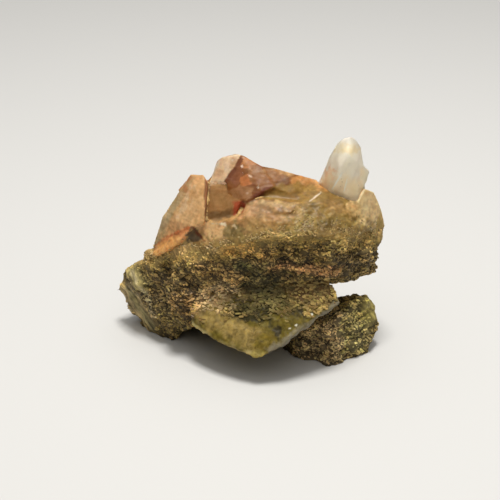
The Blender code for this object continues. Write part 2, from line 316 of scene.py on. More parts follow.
# the quartz's own blocks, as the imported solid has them

stainedBlocks = {
    "leftCrystal": [
        (-21.5, 8.0, 21.0), (-18.8, 8.2, 29.6), (-15.3, 8.6, 34.7), (-12.6, 9.0, 39.2),
        (-9.9, 8.0, 39.5), (-8.8, 6.0, 38.7), (-9.3, 1.2, 33.4), (-9.6, 0.4, 32.0),
        (-11.7, 1.6, 30.6), (-19.0, 14.0, 20.0), (-16.4, 13.0, 28.5), (-12.4, 12.5, 35.6),
        (-9.8, 12.0, 37.0), (-9.0, 8.0, 26.0),
    ],
    "orangeFacet": [
        (-21.9, 7.8, 20.6), (-11.7, 1.4, 30.4), (-14.6, 2.6, 26.5), (-18.2, 4.4, 22.9),
        (-21.0, 6.8, 20.4), (-14.0, 10.0, 24.0), (-11.0, 5.0, 26.0), (-20.0, 12.0, 20.0),
    ],
    "recessedCrystal": [
        (-9.4, 7.0, 37.9), (-3.4, 5.0, 38.6), (-9.8, 2.2, 31.5), (-3.6, 0.6, 32.0),
        (-2.0, 1.6, 36.0), (-8.0, 12.0, 38.0), (-1.0, 12.0, 38.0), (-9.0, 10.0, 27.0),
        (-2.0, 6.0, 26.0),
    ],
    "secondCrystal": [
        (-8.4, 7.0, 38.4), (-5.9, 8.4, 43.3), (-2.1, 8.4, 44.0), (-5.0, 5.4, 39.0),
        (-8.6, 8.0, 33.0), (-4.6, 6.0, 33.0), (-7.0, 13.5, 40.5), (-3.0, 13.5, 42.0),
        (-8.0, 14.0, 33.0), (-3.0, 14.0, 33.0),
    ],
    "ridgeCrystal": [
        (-1.7, 8.2, 44.0), (2.5, 6.6, 42.0), (-5.0, 5.2, 39.2), (-4.2, 3.0, 35.8),
        (-0.4, 1.2, 36.5), (2.5, 2.0, 38.2), (5.2, 3.2, 38.9), (-2.0, 3.0, 31.0),
        (4.0, 5.0, 32.0), (-2.0, 13.0, 40.5), (4.0, 12.0, 38.6),
    ],
    "ridgeSlope": [
        (2.3, 6.8, 42.0), (5.2, 7.2, 41.3), (10.5, 8.2, 39.2), (14.2, 8.2, 38.2),
        (8.4, 5.6, 39.9), (5.2, 3.4, 38.8), (10.0, 2.6, 36.8), (4.0, 2.6, 36.4),
        (2.0, 15.0, 38.0), (12.0, 15.0, 35.5), (6.0, 6.0, 30.0),
    ],
    "smokyFacet": [
        (2.6, 3.0, 37.4), (8.6, 6.0, 39.2), (14.2, 7.8, 38.0), (10.6, 2.0, 36.4),
        (4.4, 0.6, 35.8), (-0.6, 1.4, 35.2), (3.0, 12.0, 36.0), (12.0, 13.0, 35.0),
        (4.0, 4.0, 30.0),
    ],
    "bedLeft": [
        (-14.6, 2.9, 25.4), (-7.3, -1.4, 27.0), (3.1, -4.7, 30.8), (-9.6, 1.8, 31.4),
        (-3.8, 0.2, 32.4), (-1.0, -1.8, 34.2), (6.0, -2.2, 35.0), (9.0, -3.8, 33.8),
        (-12.0, 16.0, 29.0), (6.0, 18.0, 31.0), (0.0, 4.0, 24.0),
    ],
    "centreRise": [
        (-2.8, -0.4, 33.4), (-0.6, 0.9, 36.1), (2.4, 1.5, 37.2), (5.0, 0.7, 36.9),
        (-1.0, -1.8, 34.2), (6.0, -1.8, 35.6), (8.8, -2.2, 35.6), (10.4, 0.8, 36.6),
        (0.0, 6.0, 33.0), (9.0, 6.0, 34.0), (2.0, 1.0, 31.0),
    ],
    "bedRight": [
        (3.1, -4.7, 30.8), (12.2, -5.5, 31.8), (19.6, -3.7, 29.6), (6.0, -2.2, 35.0),
        (10.3, 0.0, 36.2), (14.6, 1.0, 36.3), (14.2, 7.6, 38.2), (19.0, 2.6, 36.0),
        (23.5, 5.2, 35.0), (26.6, 5.0, 29.0), (8.0, 18.0, 30.0), (23.0, 16.5, 30.5),
        (14.0, 4.0, 24.0), (24.0, 8.0, 25.0),
    ],
    "rightLobe": [
        (24.3, 6.4, 37.0), (26.3, 7.6, 35.6), (28.1, 7.6, 31.3), (28.8, 8.0, 27.5),
        (28.2, 6.2, 24.4), (24.2, 2.6, 30.0), (22.6, 3.6, 35.0), (21.0, 9.0, 37.0),
        (26.0, 13.0, 33.0), (27.0, 14.0, 26.5), (20.0, 12.0, 28.0),
    ],
    "backPointLeft": quartzPoint((-9.0, 12.0, 30.0), (-14.0, 22.5, 31.5), 4.2, 0.80, 15.0),
    "backPointMiddle": quartzPoint((1.0, 12.0, 31.0), (0.5, 24.0, 31.0), 5.0, 0.75, 40.0),
    "backPointLow": quartzPoint((7.0, 13.0, 22.0), (9.0, 25.0, 20.5), 4.0, 0.85, 5.0),
    "backPointRight": quartzPoint((17.0, 10.0, 31.0), (20.0, 21.5, 30.0), 4.4, 0.80, 25.0),
}

wedgeCorners = [
    (-12.8, -1.6, 12.0), (-10.6, 1.0, 14.5), (-4.5, 1.5, 17.4), (4.2, 0.0, 20.2),
    (13.0, -1.0, 20.8), (17.2, -3.2, 19.0), (19.0, -5.5, 16.2), (13.0, -8.4, 14.4),
    (9.3, -10.4, 11.2), (5.5, -11.6, 8.3), (2.5, -12.0, 6.8), (0.8, -11.7, 6.6),
    (-2.1, -10.6, 7.8), (-8.0, -7.0, 8.4), (-12.6, -2.6, 9.2), (-9.0, 7.0, 7.0),
    (0.0, 7.0, 6.0), (10.0, 7.0, 8.0), (14.0, 5.0, 13.0),
]

clearBlocks = {
    "clearPoint": [
        (14.3, 7.0, 37.6), (16.7, 6.8, 44.4), (18.2, 7.0, 47.2), (19.6, 7.4, 48.1),
        (20.8, 7.6, 48.3), (21.9, 7.8, 47.8), (23.2, 8.4, 45.6), (23.8, 8.4, 42.0), (24.4, 8.0, 36.4),
        (17.2, 4.4, 36.0), (20.5, 3.7, 35.0), (18.6, 4.0, 43.0), (20.4, 4.6, 45.6), (22.2, 5.0, 43.6),
        (22.6, 4.2, 34.6), (17.6, 12.0, 43.0), (20.6, 12.4, 45.2), (22.6, 12.2, 42.0),
        (16.0, 12.0, 35.0), (23.0, 12.5, 35.0),
    ],
    "clearStep": [
        (23.4, 7.0, 42.4), (25.1, 8.0, 40.4), (24.8, 8.0, 38.2), (23.8, 6.2, 37.0),
        (22.4, 6.0, 40.6), (22.6, 11.0, 41.0), (24.4, 11.0, 38.0), (22.0, 9.0, 36.0),
    ],
}

# where the stained quartz gives way to the granular stone, along X, in front and behind
seamAlongX = (-26.0, -18.4, -12.5, -7.3, -2.0, 3.1, 12.2, 19.6, 28.6)
seamInFront = (17.2, 22.0, 25.0, 26.2, 28.4, 30.6, 32.4, 30.8, 25.5)
seamBehind = (16.0, 20.0, 24.0, 26.0, 27.0, 27.5, 27.0, 26.0, 24.0)


def aboveSeam(points):
    share = smoothStep(9.0, 16.0, points[:, 1])
    front = np.interp(points[:, 0], seamAlongX, seamInFront)
    behind = np.interp(points[:, 0], seamAlongX, seamBehind)
    return points[:, 2] - front * (1 - share) - behind * share


# colour zones of the granular stone

matrixLook = {
    "base": (162, 138, 84),
    # darker strip below the seam: partly the stone's own darker tone, partly painted shade under the quartz overhang
    "darkAndShadedBand": (150, 125, 77),
    "seamBand": (176, 148, 84),
    "seamCrumbs": (160, 140, 100),
    "knobbly": (186, 150, 90),  # bare stone just above the seam
    "zones": [
        {"at": (-4, -1.6, 26), "to": (2.6, -4, 26.6), "reach": (3, 3, 1.8), "colour": (230, 184, 104), "seed": 11,
         "strength": 0.8},
        {"at": (7, -3.5, 23.2), "to": (17, -3.6, 22.4), "reach": (2.4, 3.5, 1.1), "colour": (236, 182, 124), "seed": 12,
         "strength": 0.85},
        {"at": (3.6, -3.8, 26.6), "reach": (2.2, 2.5, 1.7), "colour": (172, 140, 87), "seed": 13, "strength": 0.8},
        {"at": (-9.6, -1, 14), "to": (-4.4, -1.6, 16.8), "reach": (3.0, 4, 2.2), "colour": (255, 222, 166), "seed": 14,
         "strength": 1.0},
        {"at": (1, -3.6, 17.6), "to": (4.6, -5, 14.6), "reach": (2.8, 3, 2.2), "colour": (136, 122, 76), "seed": 32,
         "strength": 0.8},
        {"at": (-3, -3.6, 14.8), "to": (1.5, -5, 13.8), "reach": (2.2, 2.4, 1.5), "colour": (70, 64, 36), "seed": 34,
         "strength": 0.85},
        {"at": (12, -3, 27.4), "to": (24, 0, 27.2), "reach": (6, 6, 2.2), "colour": (194, 162, 94), "seed": 33,
         "strength": 0.7},
        {"at": (0.5, -2.6, 21.4), "to": (4, -3.2, 18), "reach": (3.2, 4, 3), "colour": (130, 118, 74), "seed": 15,
         "strength": 0.85},
        # painted shadow: dark cracks in the re-entrant corner above the peach ledge
        {"at": (8, -3, 25.4), "to": (15, -3.6, 25), "reach": (2, 3, 0.8), "colour": (87, 62, 32), "seed": 22,
         "strength": 0.15},
        {"at": (-2.2, -2.5, 23.2), "reach": (1.8, 2, 1.4), "colour": (132, 132, 87), "seed": 23, "strength": 0.7},
        {"at": (-26.6, 12, 8), "reach": (3.4, 5, 7), "colour": (178, 156, 110), "seed": 16},
        {"at": (-25.6, 9.8, 15), "to": (-24, 8.2, 13), "reach": (2.2, 3, 1.9), "colour": (184, 166, 104), "seed": 35,
         "strength": 0.9},
        {"at": (-26.2, 10.4, 14.6), "to": (-22.4, 7.2, 10.2), "reach": (0.7, 1.6, 0.8), "colour": (214, 196, 146),
         "seed": 17},
        {"at": (-22.8, 7.4, 9.9), "to": (-21.4, 7.6, 5.4), "reach": (0.6, 1.4, 0.8), "colour": (206, 186, 144),
         "seed": 30, "strength": 0.8},
        {"at": (-27.4, 12, 9), "to": (-22, 9.6, 1.6), "reach": (0.9, 2, 1), "colour": (136, 124, 84), "seed": 31},
        {"at": (-29.8, 14, 11), "reach": (1.8, 3, 2.2), "colour": (234, 198, 118), "seed": 26},
        {"at": (-12, 0, 12), "reach": (5, 4, 4), "colour": (166, 124, 69), "seed": 19, "strength": 0.5},
        {"at": (-9.5, -1, 21.8), "to": (-3.4, -2.2, 20.4), "reach": (3.4, 4, 2.2), "colour": (196, 158, 96), "seed": 37,
         "strength": 0.7},
        {"at": (13, 0, 5), "to": (18, -2, 6), "reach": (4.4, 5, 7), "colour": (196, 169, 121), "seed": 24},
        {"at": (23.6, 0, 5), "to": (23.6, 0, 9), "reach": (3.4, 5, 4.5), "colour": (214, 194, 124), "seed": 25},
        {"at": (26.6, 4.0, 9.6), "reach": (2.6, 5, 4.4), "colour": (180, 163, 90), "seed": 18, "ragged": 0.2},
        {"at": (20, 14, 20), "reach": (8, 8, 7), "colour": (170, 153, 79), "seed": 20, "strength": 0.7},
        {"at": (-6, 20, 12), "reach": (8, 6, 6), "colour": (141, 121, 60), "seed": 21, "strength": 0.7},
    ],
    "bareZones": [
        {"at": (-28.4, 13, 9.6), "to": (-22.6, 10, 2), "reach": (2.3, 4, 2.6), "seed": 27, "ragged": 0.25},
        {"at": (-29.4, 14.4, 12), "reach": (2, 3, 2.4), "seed": 28, "strength": 0.6},
        {"at": (-26, 10, 14.8), "to": (-24.2, 8.4, 12.8), "reach": (1.8, 3, 1.6), "seed": 36, "strength": 0.8},
        {"at": (26.7, 4.0, 9.8), "reach": (2.2, 4, 3.8), "seed": 29, "strength": 0.9, "ragged": 0.2},
    ],
}

quartzLook = {
    "facetSpread": 0.12,
    "blocks": {
        "leftCrystal": (226, 180, 124), "orangeFacet": (255, 206, 122), "recessedCrystal": (164, 120, 70),
        "secondCrystal": (255, 224, 186), "ridgeCrystal": (138, 84, 38), "ridgeSlope": (134, 88, 36),
        "smokyFacet": (164, 122, 54), "bedLeft": (201, 156, 98), "centreRise": (151, 115, 67),
        "bedRight": (157, 124, 63), "rightLobe": (255, 228, 174), "backPointLeft": (218, 172, 126),
        "backPointMiddle": (224, 190, 146), "backPointLow": (204, 166, 114), "backPointRight": (222, 188, 142),
    },
    "zones": [
        {"at": (-21.6, 7.2, 23), "to": (-13.4, 8.6, 37.6), "reach": (0.5, 2.4, 0.5), "colour": (220, 195, 155),
         "seed": 31, "ragged": 0.25},
        {"at": (-12.6, 3.6, 31.6), "to": (-11, 6, 36), "reach": (0.9, 2, 1.2), "colour": (230, 188, 134), "seed": 86,
         "strength": 0.7, "ragged": 0.9, "grain": 0.9},
        {"at": (0.4, 0, 34.6), "to": (5.5, -1, 34), "reach": (2.6, 2.4, 1.5), "colour": (220, 167, 116), "seed": 41,
         "ragged": 0.9, "grain": 1.1, "strength": 0.8},
        {"at": (3.5, 0.4, 36.2), "to": (8.5, 0, 36), "reach": (1.6, 1.4, 0.6), "colour": (216, 181, 118), "seed": 42,
         "ragged": 0.9, "grain": 0.9},
        {"at": (22.4, 2.5, 35), "to": (24, 3.6, 31), "reach": (1.8, 3, 2.4), "colour": (236, 202, 140), "seed": 92,
         "ragged": 0.8, "grain": 1.2},
        {"at": (-10, 0.8, 29.6), "to": (-5.4, -1, 30), "reach": (2.2, 2, 1.8), "colour": (255, 208, 148), "seed": 43},
        {"at": (-3.6, -0.8, 31), "to": (-1.6, -2, 29), "reach": (1.6, 2, 1.4), "colour": (142, 123, 74), "seed": 90,
         "ragged": 0.9, "grain": 1.0, "strength": 0.8},
        {"at": (16.4, -2.6, 32.8), "to": (20.5, -0.4, 32.6), "reach": (2.0, 2.4, 1.1), "colour": (115, 92, 37), "seed": 46,
         "ragged": 0.9, "grain": 1.1, "strength": 0.85},
        {"at": (18, 0.5, 35), "to": (21, 1.6, 34.4), "reach": (1.6, 2, 0.9), "colour": (196, 158, 99), "seed": 91,
         "ragged": 0.9, "grain": 1.0, "strength": 0.6},
        {"at": (24, 5, 35.4), "to": (26.6, 6.4, 31), "reach": (2.2, 3, 2.4), "colour": (246, 218, 164), "seed": 47,
         "strength": 0.7},
        {"at": (27.6, 6.6, 28.6), "reach": (1.2, 2.4, 1.8), "colour": (216, 180, 97), "seed": 48},
        {"at": (10.5, 6, 39), "to": (14.5, 6.6, 38), "reach": (1.8, 2.2, 0.9), "colour": (226, 165, 96), "seed": 50,
         "strength": 0.8},
        {"at": (6.6, -2, 34), "reach": (1.0, 1, 0.7), "colour": (135, 107, 79), "seed": 51, "strength": 0.7},
        # painted glints: tiny white spots on the ridge and the second crystal
        {"at": (-0.6, 2.4, 37.8), "reach": (0.26, 0.6, 0.16), "colour": (255, 250, 236), "seed": 94, "ragged": 0.2},
        {"at": (1.7, 2.9, 39.0), "reach": (0.2, 0.6, 0.24), "colour": (255, 246, 220), "seed": 95, "ragged": 0.2},
        {"at": (-1.6, 5, 41), "reach": (0.2, 0.6, 0.2), "colour": (255, 246, 220), "seed": 96, "ragged": 0.2},
        {"at": (-2, 13, 41), "to": (13, 12, 37), "reach": (4, 5, 4.5), "colour": (214, 170, 120), "seed": 105,
         "strength": 0.9, "ragged": 0.6},
        {"at": (0, 20, 30), "reach": (9, 6, 6), "colour": (212, 180, 134), "seed": 52, "strength": 0.6},
        {"at": (-13, 18, 30), "reach": (5, 5, 5), "colour": (207, 144, 87), "seed": 53, "strength": 0.6},
    ],
    "facets": [  # outlines in millimetres on the front view's plane, about its middle
        {"outline": [(-21, 0.6), (-18.9, 7.4), (-16.4, 7.6), (-18.3, 3.4), (-19.5, 1.5)], "colour": (204, 178, 128),
         "seed": 201, "strength": 0.75},
        {"outline": [(-18.9, 7.4), (-15.5, 12), (-13.9, 11.3), (-16.4, 7.6)], "colour": (206, 178, 128), "seed": 202,
         "strength": 0.75},
        {"outline": [(-15.5, 12), (-12.6, 16), (-11.8, 15.1), (-13.9, 11.3)], "colour": (216, 184, 134), "seed": 203,
         "strength": 0.75},
        {"outline": [(-18, 5.2), (-13.6, 5.6), (-13.6, 2.5), (-18, 2.5)], "colour": (200, 148, 96), "seed": 234,
         "ragged": 0.8, "soft": 0.8, "strength": 0.6},
        {"outline": [(-12, 5), (-14.1, 4.5), (-17.6, 2.8), (-20.6, 0.8), (-21.8, -1.7), (-18.9, -1.5), (-16.2, 0),
                     (-14.1, 1.7), (-12.8, 3.6)], "colour": (255, 186, 112), "seed": 204, "ragged": 0.1},
        {"outline": [(-12, 5), (-14.1, 4.5), (-15.8, 3.7), (-14.6, 2), (-12.8, 3.6)], "colour": (250, 162, 104),
         "seed": 205, "strength": 0.6},
        {"outline": [(-12, 5.2), (-17.6, 3), (-17.6, 2.6), (-12, 4.7)], "colour": (206, 122, 70), "seed": 206,
         "ragged": 0.3, "soft": 0.25},
        {"outline": [(-17.6, 3.1), (-20.8, 1.1), (-20.6, 0.6), (-17.6, 2.5)], "colour": (214, 136, 80), "seed": 207,
         "ragged": 0.3, "soft": 0.25},
        # painted shade in the dark notch beside the orange face
        {"outline": [(-12, 4.8), (-13.9, 1.6), (-9.5, 1.8), (-10.6, 3.9)], "colour": (112, 96, 68), "seed": 208,
         "ragged": 0.9, "strength": 0.9},
        {"outline": [(-12, 5.1), (-9.2, 1.9), (-9.6, 1.6), (-12.2, 4.5)], "colour": (140, 82, 50), "seed": 209,
         "ragged": 0.3},
        {"outline": [(-9.5, 8), (-4.2, 8.2), (-4.2, 6.9), (-6.9, 5.9), (-9.5, 6.9)], "colour": (122, 92, 54),
         "seed": 210, "ragged": 0.5, "soft": 0.4, "strength": 0.85},
        # painted highlight: pale feathery streaks on the left crystal
        {"outline": [(-13.2, 13.6), (-12.2, 13.2), (-13.4, 8.4), (-15.4, 7)], "colour": (236, 206, 166), "seed": 228,
         "ragged": 0.9, "soft": 0.6, "strength": 0.5},
        {"outline": [(-14.4, 13.2), (-12.8, 16), (-12.3, 15.8), (-13.5, 12.4)], "colour": (212, 134, 78), "seed": 229,
         "ragged": 0.6, "soft": 0.4, "strength": 0.6},
        {"outline": [(-12.2, 18.2), (-8.8, 18.5), (-8.8, 18.1), (-12.2, 17.8)], "colour": (184, 126, 76), "seed": 226,
         "ragged": 0.3},
        {"outline": [(-8, 13.8), (-5.4, 14.2), (-3.8, 16.4), (-7, 17)], "colour": (240, 200, 156), "seed": 233,
         "ragged": 0.5, "soft": 0.5, "strength": 0.8},
        # painted shade: dark lines in the join between the left and the recessed crystal
        {"outline": [(-9.5, 18), (-8.5, 18), (-8.5, 9), (-9.6, 9)], "colour": (150, 100, 60), "seed": 227,
         "ragged": 0.1, "soft": 0.2},
        {"outline": [(-8.7, 13.8), (-8.2, 13.4), (-9.2, 7), (-9.7, 7)], "colour": (140, 94, 58), "seed": 211,
         "ragged": 0.15},
        {"outline": [(-2.5, 18.9), (-0.6, 19.5), (1.3, 18.1), (0, 16.8), (-1.5, 17.2)], "colour": (192, 132, 78),
         "seed": 212, "ragged": 0.3},
        {"outline": [(-4.6, 14.7), (-2.1, 17.9), (-1.3, 15.8), (-2.9, 13.4)], "colour": (146, 90, 54), "seed": 213,
         "ragged": 0.4},
        {"outline": [(-2.3, 15.1), (-0.4, 15.5), (0, 13.9), (-1.5, 13)], "colour": (190, 116, 60), "seed": 214,
         "ragged": 0.5},
        {"outline": [(-4.6, 12.2), (-2.1, 13.2), (0.6, 13), (0.4, 11.1), (-2.5, 10.5)], "colour": (170, 124, 80),
         "seed": 215, "ragged": 0.4, "strength": 0.8},
        {"outline": [(0, 17.9), (2.5, 17.4), (7.4, 15.8), (5.3, 13.4), (2.5, 12.6), (0, 14.7)],
         "colour": (158, 106, 56), "seed": 216, "ragged": 0.5, "strength": 0.7},
        # painted shadow beneath the ledge of the ridge crystal
        {"outline": [(-0.4, 10.7), (2.5, 11.1), (5.3, 13.4), (2.5, 12.6)], "colour": (124, 68, 40), "seed": 217,
         "ragged": 0.25},
        {"outline": [(2.5, 11.1), (5.5, 13.4), (10.5, 14.1), (14.3, 13.4), (11.8, 10.5), (7.4, 9.9)],
         "colour": (158, 123, 56), "seed": 218, "ragged": 0.5, "soft": 0.5, "strength": 0.85},
        {"outline": [(-2.1, 9.4), (2.5, 10.5), (8.4, 9.7), (10.5, 7.3), (6.3, 5), (0, 5)], "colour": (174, 137, 84),
         "seed": 219, "ragged": 0.8, "soft": 0.6, "strength": 0.5},
        {"outline": [(-3.6, 10.1), (-1.8, 10.6), (-0.9, 9.4), (-1.6, 7.8), (-3.1, 7.7)], "colour": (186, 88, 52),
         "seed": 220, "ragged": 0.4, "soft": 0.3},
        # painted glints: tiny near-white sparkles on the upper crystals
        {"outline": [(-2, 17.6), (-1.6, 17.8), (-1.4, 17.3), (-1.8, 17.1)], "colour": (255, 238, 216), "seed": 230,
         "ragged": 0.1, "soft": 0.1},
        {"outline": [(-3.9, 18.9), (-3.5, 19), (-3.5, 18.6), (-3.8, 18.6)], "colour": (255, 232, 208), "seed": 231,
         "ragged": 0.1, "soft": 0.1},
        {"outline": [(-0.3, 15.6), (0.5, 15.3), (0.5, 15), (-0.1, 15.3)], "colour": (248, 220, 190), "seed": 232,
         "ragged": 0.1, "soft": 0.1},
        # painted shade: dark line in the join between the second crystal and the ridge crystal
        {"outline": [(-1.9, 19.4), (-1.3, 19), (-4.8, 14), (-5.4, 14.3)], "colour": (132, 78, 46), "seed": 221,
         "ragged": 0.2},
        # painted glints: thin cream slivers on the bed below the crystals
        {"outline": [(-8.4, 5.7), (-5.3, 5.5), (-5.3, 5.2), (-8.4, 5.45)], "colour": (255, 240, 210), "seed": 224,
         "ragged": 0.3},
        {"outline": [(-3.2, 5.2), (-2.2, 4), (-2.5, 3.9), (-3.5, 5)], "colour": (250, 226, 180), "seed": 225,
         "ragged": 0.3},
        {"outline": [(13.4, 9.2), (14.5, 8.8), (14.7, 7.3), (13.9, 7.5)], "colour": (114, 92, 46), "seed": 222,
         "ragged": 0.6, "soft": 0.5},
        {"outline": [(14.3, 6.3), (17.2, 6.5), (17.4, 4.8), (15.1, 4.2)], "colour": (114, 92, 46), "seed": 223,
         "ragged": 0.7, "soft": 0.5, "strength": 0.8},
        {"outline": [(10.6, 4.8), (25.2, 4.8), (25.2, 2.4), (10.6, 2.4)], "colour": (130, 104, 58), "seed": 235,
         "ragged": 0.9, "soft": 0.9, "strength": 0.7},
    ],
    # painted highlight: a thin bright sliver where a glossy crystal catches the light
    "paintedHighlights": [
        {"at": (12.4, 1.3, 36.6), "to": (14.8, 4.0, 37.3), "reach": (0.2, 0.6, 0.2), "colour": (230, 211, 180),
         "seed": 49, "ragged": 0.3},
    ],
    "clearZones": [
        {"at": (24, 5, 35.4), "to": (27.4, 7, 30), "reach": (2.6, 3, 2.6), "seed": 54, "strength": 0.35},
        {"at": (-21.6, 7.2, 21.5), "to": (-13, 8.6, 38.4), "reach": (0.8, 2.4, 0.8), "seed": 55, "strength": 0.4},
        {"at": (-5.5, 9, 42), "reach": (2.5, 4, 3), "seed": 56, "strength": 0.4},
        {"at": (0.5, 24, 31), "reach": (4, 6, 4), "seed": 57, "strength": 0.7},
        {"at": (20, 22, 30), "reach": (4, 6, 4), "seed": 58, "strength": 0.6},
        {"at": (-14, 22.5, 31.5), "reach": (4, 6, 4), "seed": 59, "strength": 0.5},
    ],
}

wedgeLook = {
    "base": (106, 92, 34),
    "zones": [
        {"at": (-3, -1.6, 20.6), "to": (10, -2, 20.8), "reach": (6, 5, 3), "colour": (83, 68, 38), "seed": 60},
        {"at": (0.5, -2.6, 20), "to": (3.8, -4.6, 16), "reach": (3.4, 4, 3.0), "colour": (62, 57, 32), "seed": 61,
         "ragged": 0.8, "grain": 1.4},
        {"at": (-3.6, -4.6, 13.6), "to": (0, -5, 13.4), "reach": (2.0, 2.4, 1.7), "colour": (59, 53, 28), "seed": 62,
         "ragged": 0.9, "grain": 1.2},
        {"at": (10, -5.6, 16), "to": (15, -4.4, 18), "reach": (2.4, 3, 1.8), "colour": (85, 75, 36), "seed": 63,
         "ragged": 0.8, "grain": 1.2},
        {"at": (5.8, -8.8, 12), "to": (5.6, -9.4, 10.8), "reach": (0.9, 1.2, 0.9), "colour": (62, 54, 30), "seed": 64,
         "ragged": 0.9, "grain": 0.9},
        {"at": (10.6, -6.8, 14.6), "reach": (1.1, 1.2, 1.0), "colour": (65, 56, 33), "seed": 65, "ragged": 0.9,
         "grain": 0.9},
        {"at": (-9, -3.8, 11.6), "to": (1, -9.6, 9.6), "reach": (2.4, 3, 2), "colour": (146, 124, 69), "seed": 66},
        {"at": (3, -9.8, 10), "reach": (2.2, 2.4, 1.6), "colour": (122, 104, 41), "seed": 67},
        {"at": (-8.6, -1.4, 16.2), "to": (-3, -3, 17), "reach": (2.8, 3, 2.2), "colour": (156, 130, 88), "seed": 68,
         "ragged": 0.8, "grain": 1.3},
        {"at": (-11, -1.6, 13), "reach": (1.8, 2, 2.2), "colour": (119, 99, 59), "seed": 73},
        {"at": (16.8, -4, 18), "to": (10, -4.6, 18.8), "reach": (2.6, 3, 2), "colour": (107, 82, 47), "seed": 69},
    ],
    "rim": {"at": (4.6, -11.4, 7.8), "to": (19, -5.5, 16.0), "reach": (1.05, 1.5, 1.05), "colour": (178, 166, 136),
            "seed": 70, "ragged": 0.5, "grain": 1.2, "soft": 0.6},
    "leftRim": {"at": (-12.6, -2.6, 9.2), "to": (1.6, -11.9, 6.8), "reach": (0.7, 1.0, 0.7), "colour": (180, 162, 108),
                "seed": 71, "ragged": 0.3},
    "glints": [
        {"at": (12.9, -7.9, 14.8), "reach": (0.2, 0.4, 0.2), "colour": (255, 252, 240),
         "seed": 74, "ragged": 0.8, "grain": 0.5},
        {"at": (8.3, -9.2, 12.2), "reach": (0.26, 0.4, 0.16), "colour": (250, 244, 226),
         "seed": 83, "ragged": 0.8, "grain": 0.5},
        {"at": (9.6, -8.8, 12.8), "reach": (0.2, 0.4, 0.14), "colour": (250, 244, 226), "seed": 84, "ragged": 0.8,
         "grain": 0.5},
    ],
    "tip": {"at": (1.6, -11.9, 6.8), "reach": (1.4, 1.6, 1.2), "colour": (164, 146, 77), "seed": 72},
}

clearLook = {
    "base": (255, 243, 222),
    # painted shade: grey for faces turned away from the front view, a dark outline standing in for grazing refraction
    "edge": (168, 160, 144),
    "zones": [
        {"at": (15.2, 6, 37.6), "to": (16.8, 5.4, 41.4), "reach": (0.9, 2.2, 0.9), "colour": (242, 184, 126), "seed": 75,
         "ragged": 0.9, "grain": 0.7, "soft": 0.8, "strength": 0.85},
        {"at": (17.6, 4.2, 37.4), "to": (19.6, 4.0, 38.6), "reach": (0.7, 1.4, 0.6), "colour": (242, 180, 124), "seed": 76,
         "ragged": 0.9, "grain": 0.8, "strength": 0.8},
        {"at": (18.6, 6, 46.2), "to": (21.4, 6, 46.0), "reach": (1.2, 2.4, 0.7), "colour": (238, 212, 158), "seed": 77,
         "ragged": 1.1, "grain": 0.7, "soft": 0.9, "strength": 0.7},
        {"at": (18, 5, 37.4), "to": (23, 5, 38), "reach": (2.4, 3, 3), "colour": (255, 228, 186), "seed": 78,
         "soft": 0.6},
        {"at": (17.2, 3.8, 37.8), "to": (19, 4.4, 41.6), "reach": (0.16, 2, 0.16), "colour": (255, 250, 236), "seed": 79,
         "ragged": 0.3},
        {"at": (19.6, 3.6, 37.6), "to": (20.2, 4.2, 40.2), "reach": (0.14, 2, 0.14), "colour": (255, 248, 232), "seed": 87,
         "ragged": 0.3},
        {"at": (24.4, 7.4, 39), "reach": (1.6, 2, 2), "colour": (244, 228, 196), "seed": 88},
    ],
    "milkyZones": [
        {"at": (18.5, 5, 41), "to": (20, 5, 45), "reach": (1.3, 2, 2), "seed": 80},
        {"at": (16, 6, 38), "to": (22, 5, 37.6), "reach": (2, 3, 1.8), "seed": 81},
        {"at": (24, 7, 39.6), "reach": (1.4, 2, 1.6), "seed": 82, "strength": 0.7},
    ],
}


# materials

striation = {  # fine lines on the bare left end, running down along its ridge
    "axes": ((0.51, 0.86, 0.0), (0.63, -0.37, 0.68), (0.07, -0.04, -0.09)),
    "spacing": 0.75,
}

def startMaterial(name):
    material = bpy.data.materials.new(name)
    material.use_nodes = True
    tree = material.node_tree
    return material, tree, tree.nodes["Principled BSDF"]


def attributeNode(tree, name):
    node = tree.nodes.new("ShaderNodeAttribute")
    node.attribute_name = name
    return node


def noiseNode(tree, scale, detail=4.0, roughness=0.6, distortion=0.0):
    place = tree.nodes.new("ShaderNodeTexCoord")
    node = tree.nodes.new("ShaderNodeTexNoise")
    node.inputs["Scale"].default_value = scale
    node.inputs["Detail"].default_value = detail
    node.inputs["Roughness"].default_value = roughness
    node.inputs["Distortion"].default_value = distortion
    tree.links.new(place.outputs["Object"], node.inputs["Vector"])
    return node


def rampNode(tree, source, stops):
    node = tree.nodes.new("ShaderNodeValToRGB")
    ramp = node.color_ramp
    while len(ramp.elements) < len(stops):
        ramp.elements.new(0.5)
    for element, (where, value) in zip(ramp.elements, stops):
        element.position = where
        element.color = (value, value, value, 1) if isinstance(value, float) else (*value, 1)
    tree.links.new(source, node.inputs["Fac"])
    return node


def mixNode(tree, kind, factor, first, second):
    node = tree.nodes.new("ShaderNodeMix")
    node.data_type = "RGBA"
    node.blend_type = kind
    if isinstance(factor, float):
        node.inputs["Factor"].default_value = factor
    else:
        tree.links.new(factor, node.inputs["Factor"])
    for socket, value in ((node.inputs["A"], first), (node.inputs["B"], second)):
        if isinstance(value, tuple):
            socket.default_value = (*value, 1)
        else:
            tree.links.new(value, socket)
    return node


def bumpNode(tree, height, strength, distance):
    node = tree.nodes.new("ShaderNodeBump")
    node.inputs["Strength"].default_value = strength
    node.inputs["Distance"].default_value = distance * mm
    tree.links.new(height, node.inputs["Height"])
    return node


def mathNode(tree, operation, first, second):
    node = tree.nodes.new("ShaderNodeMath")
    node.operation = operation
    for socket, value in zip(node.inputs, (first, second)):
        if isinstance(value, float):
            socket.default_value = value
        else:
            tree.links.new(value, socket)
    return node


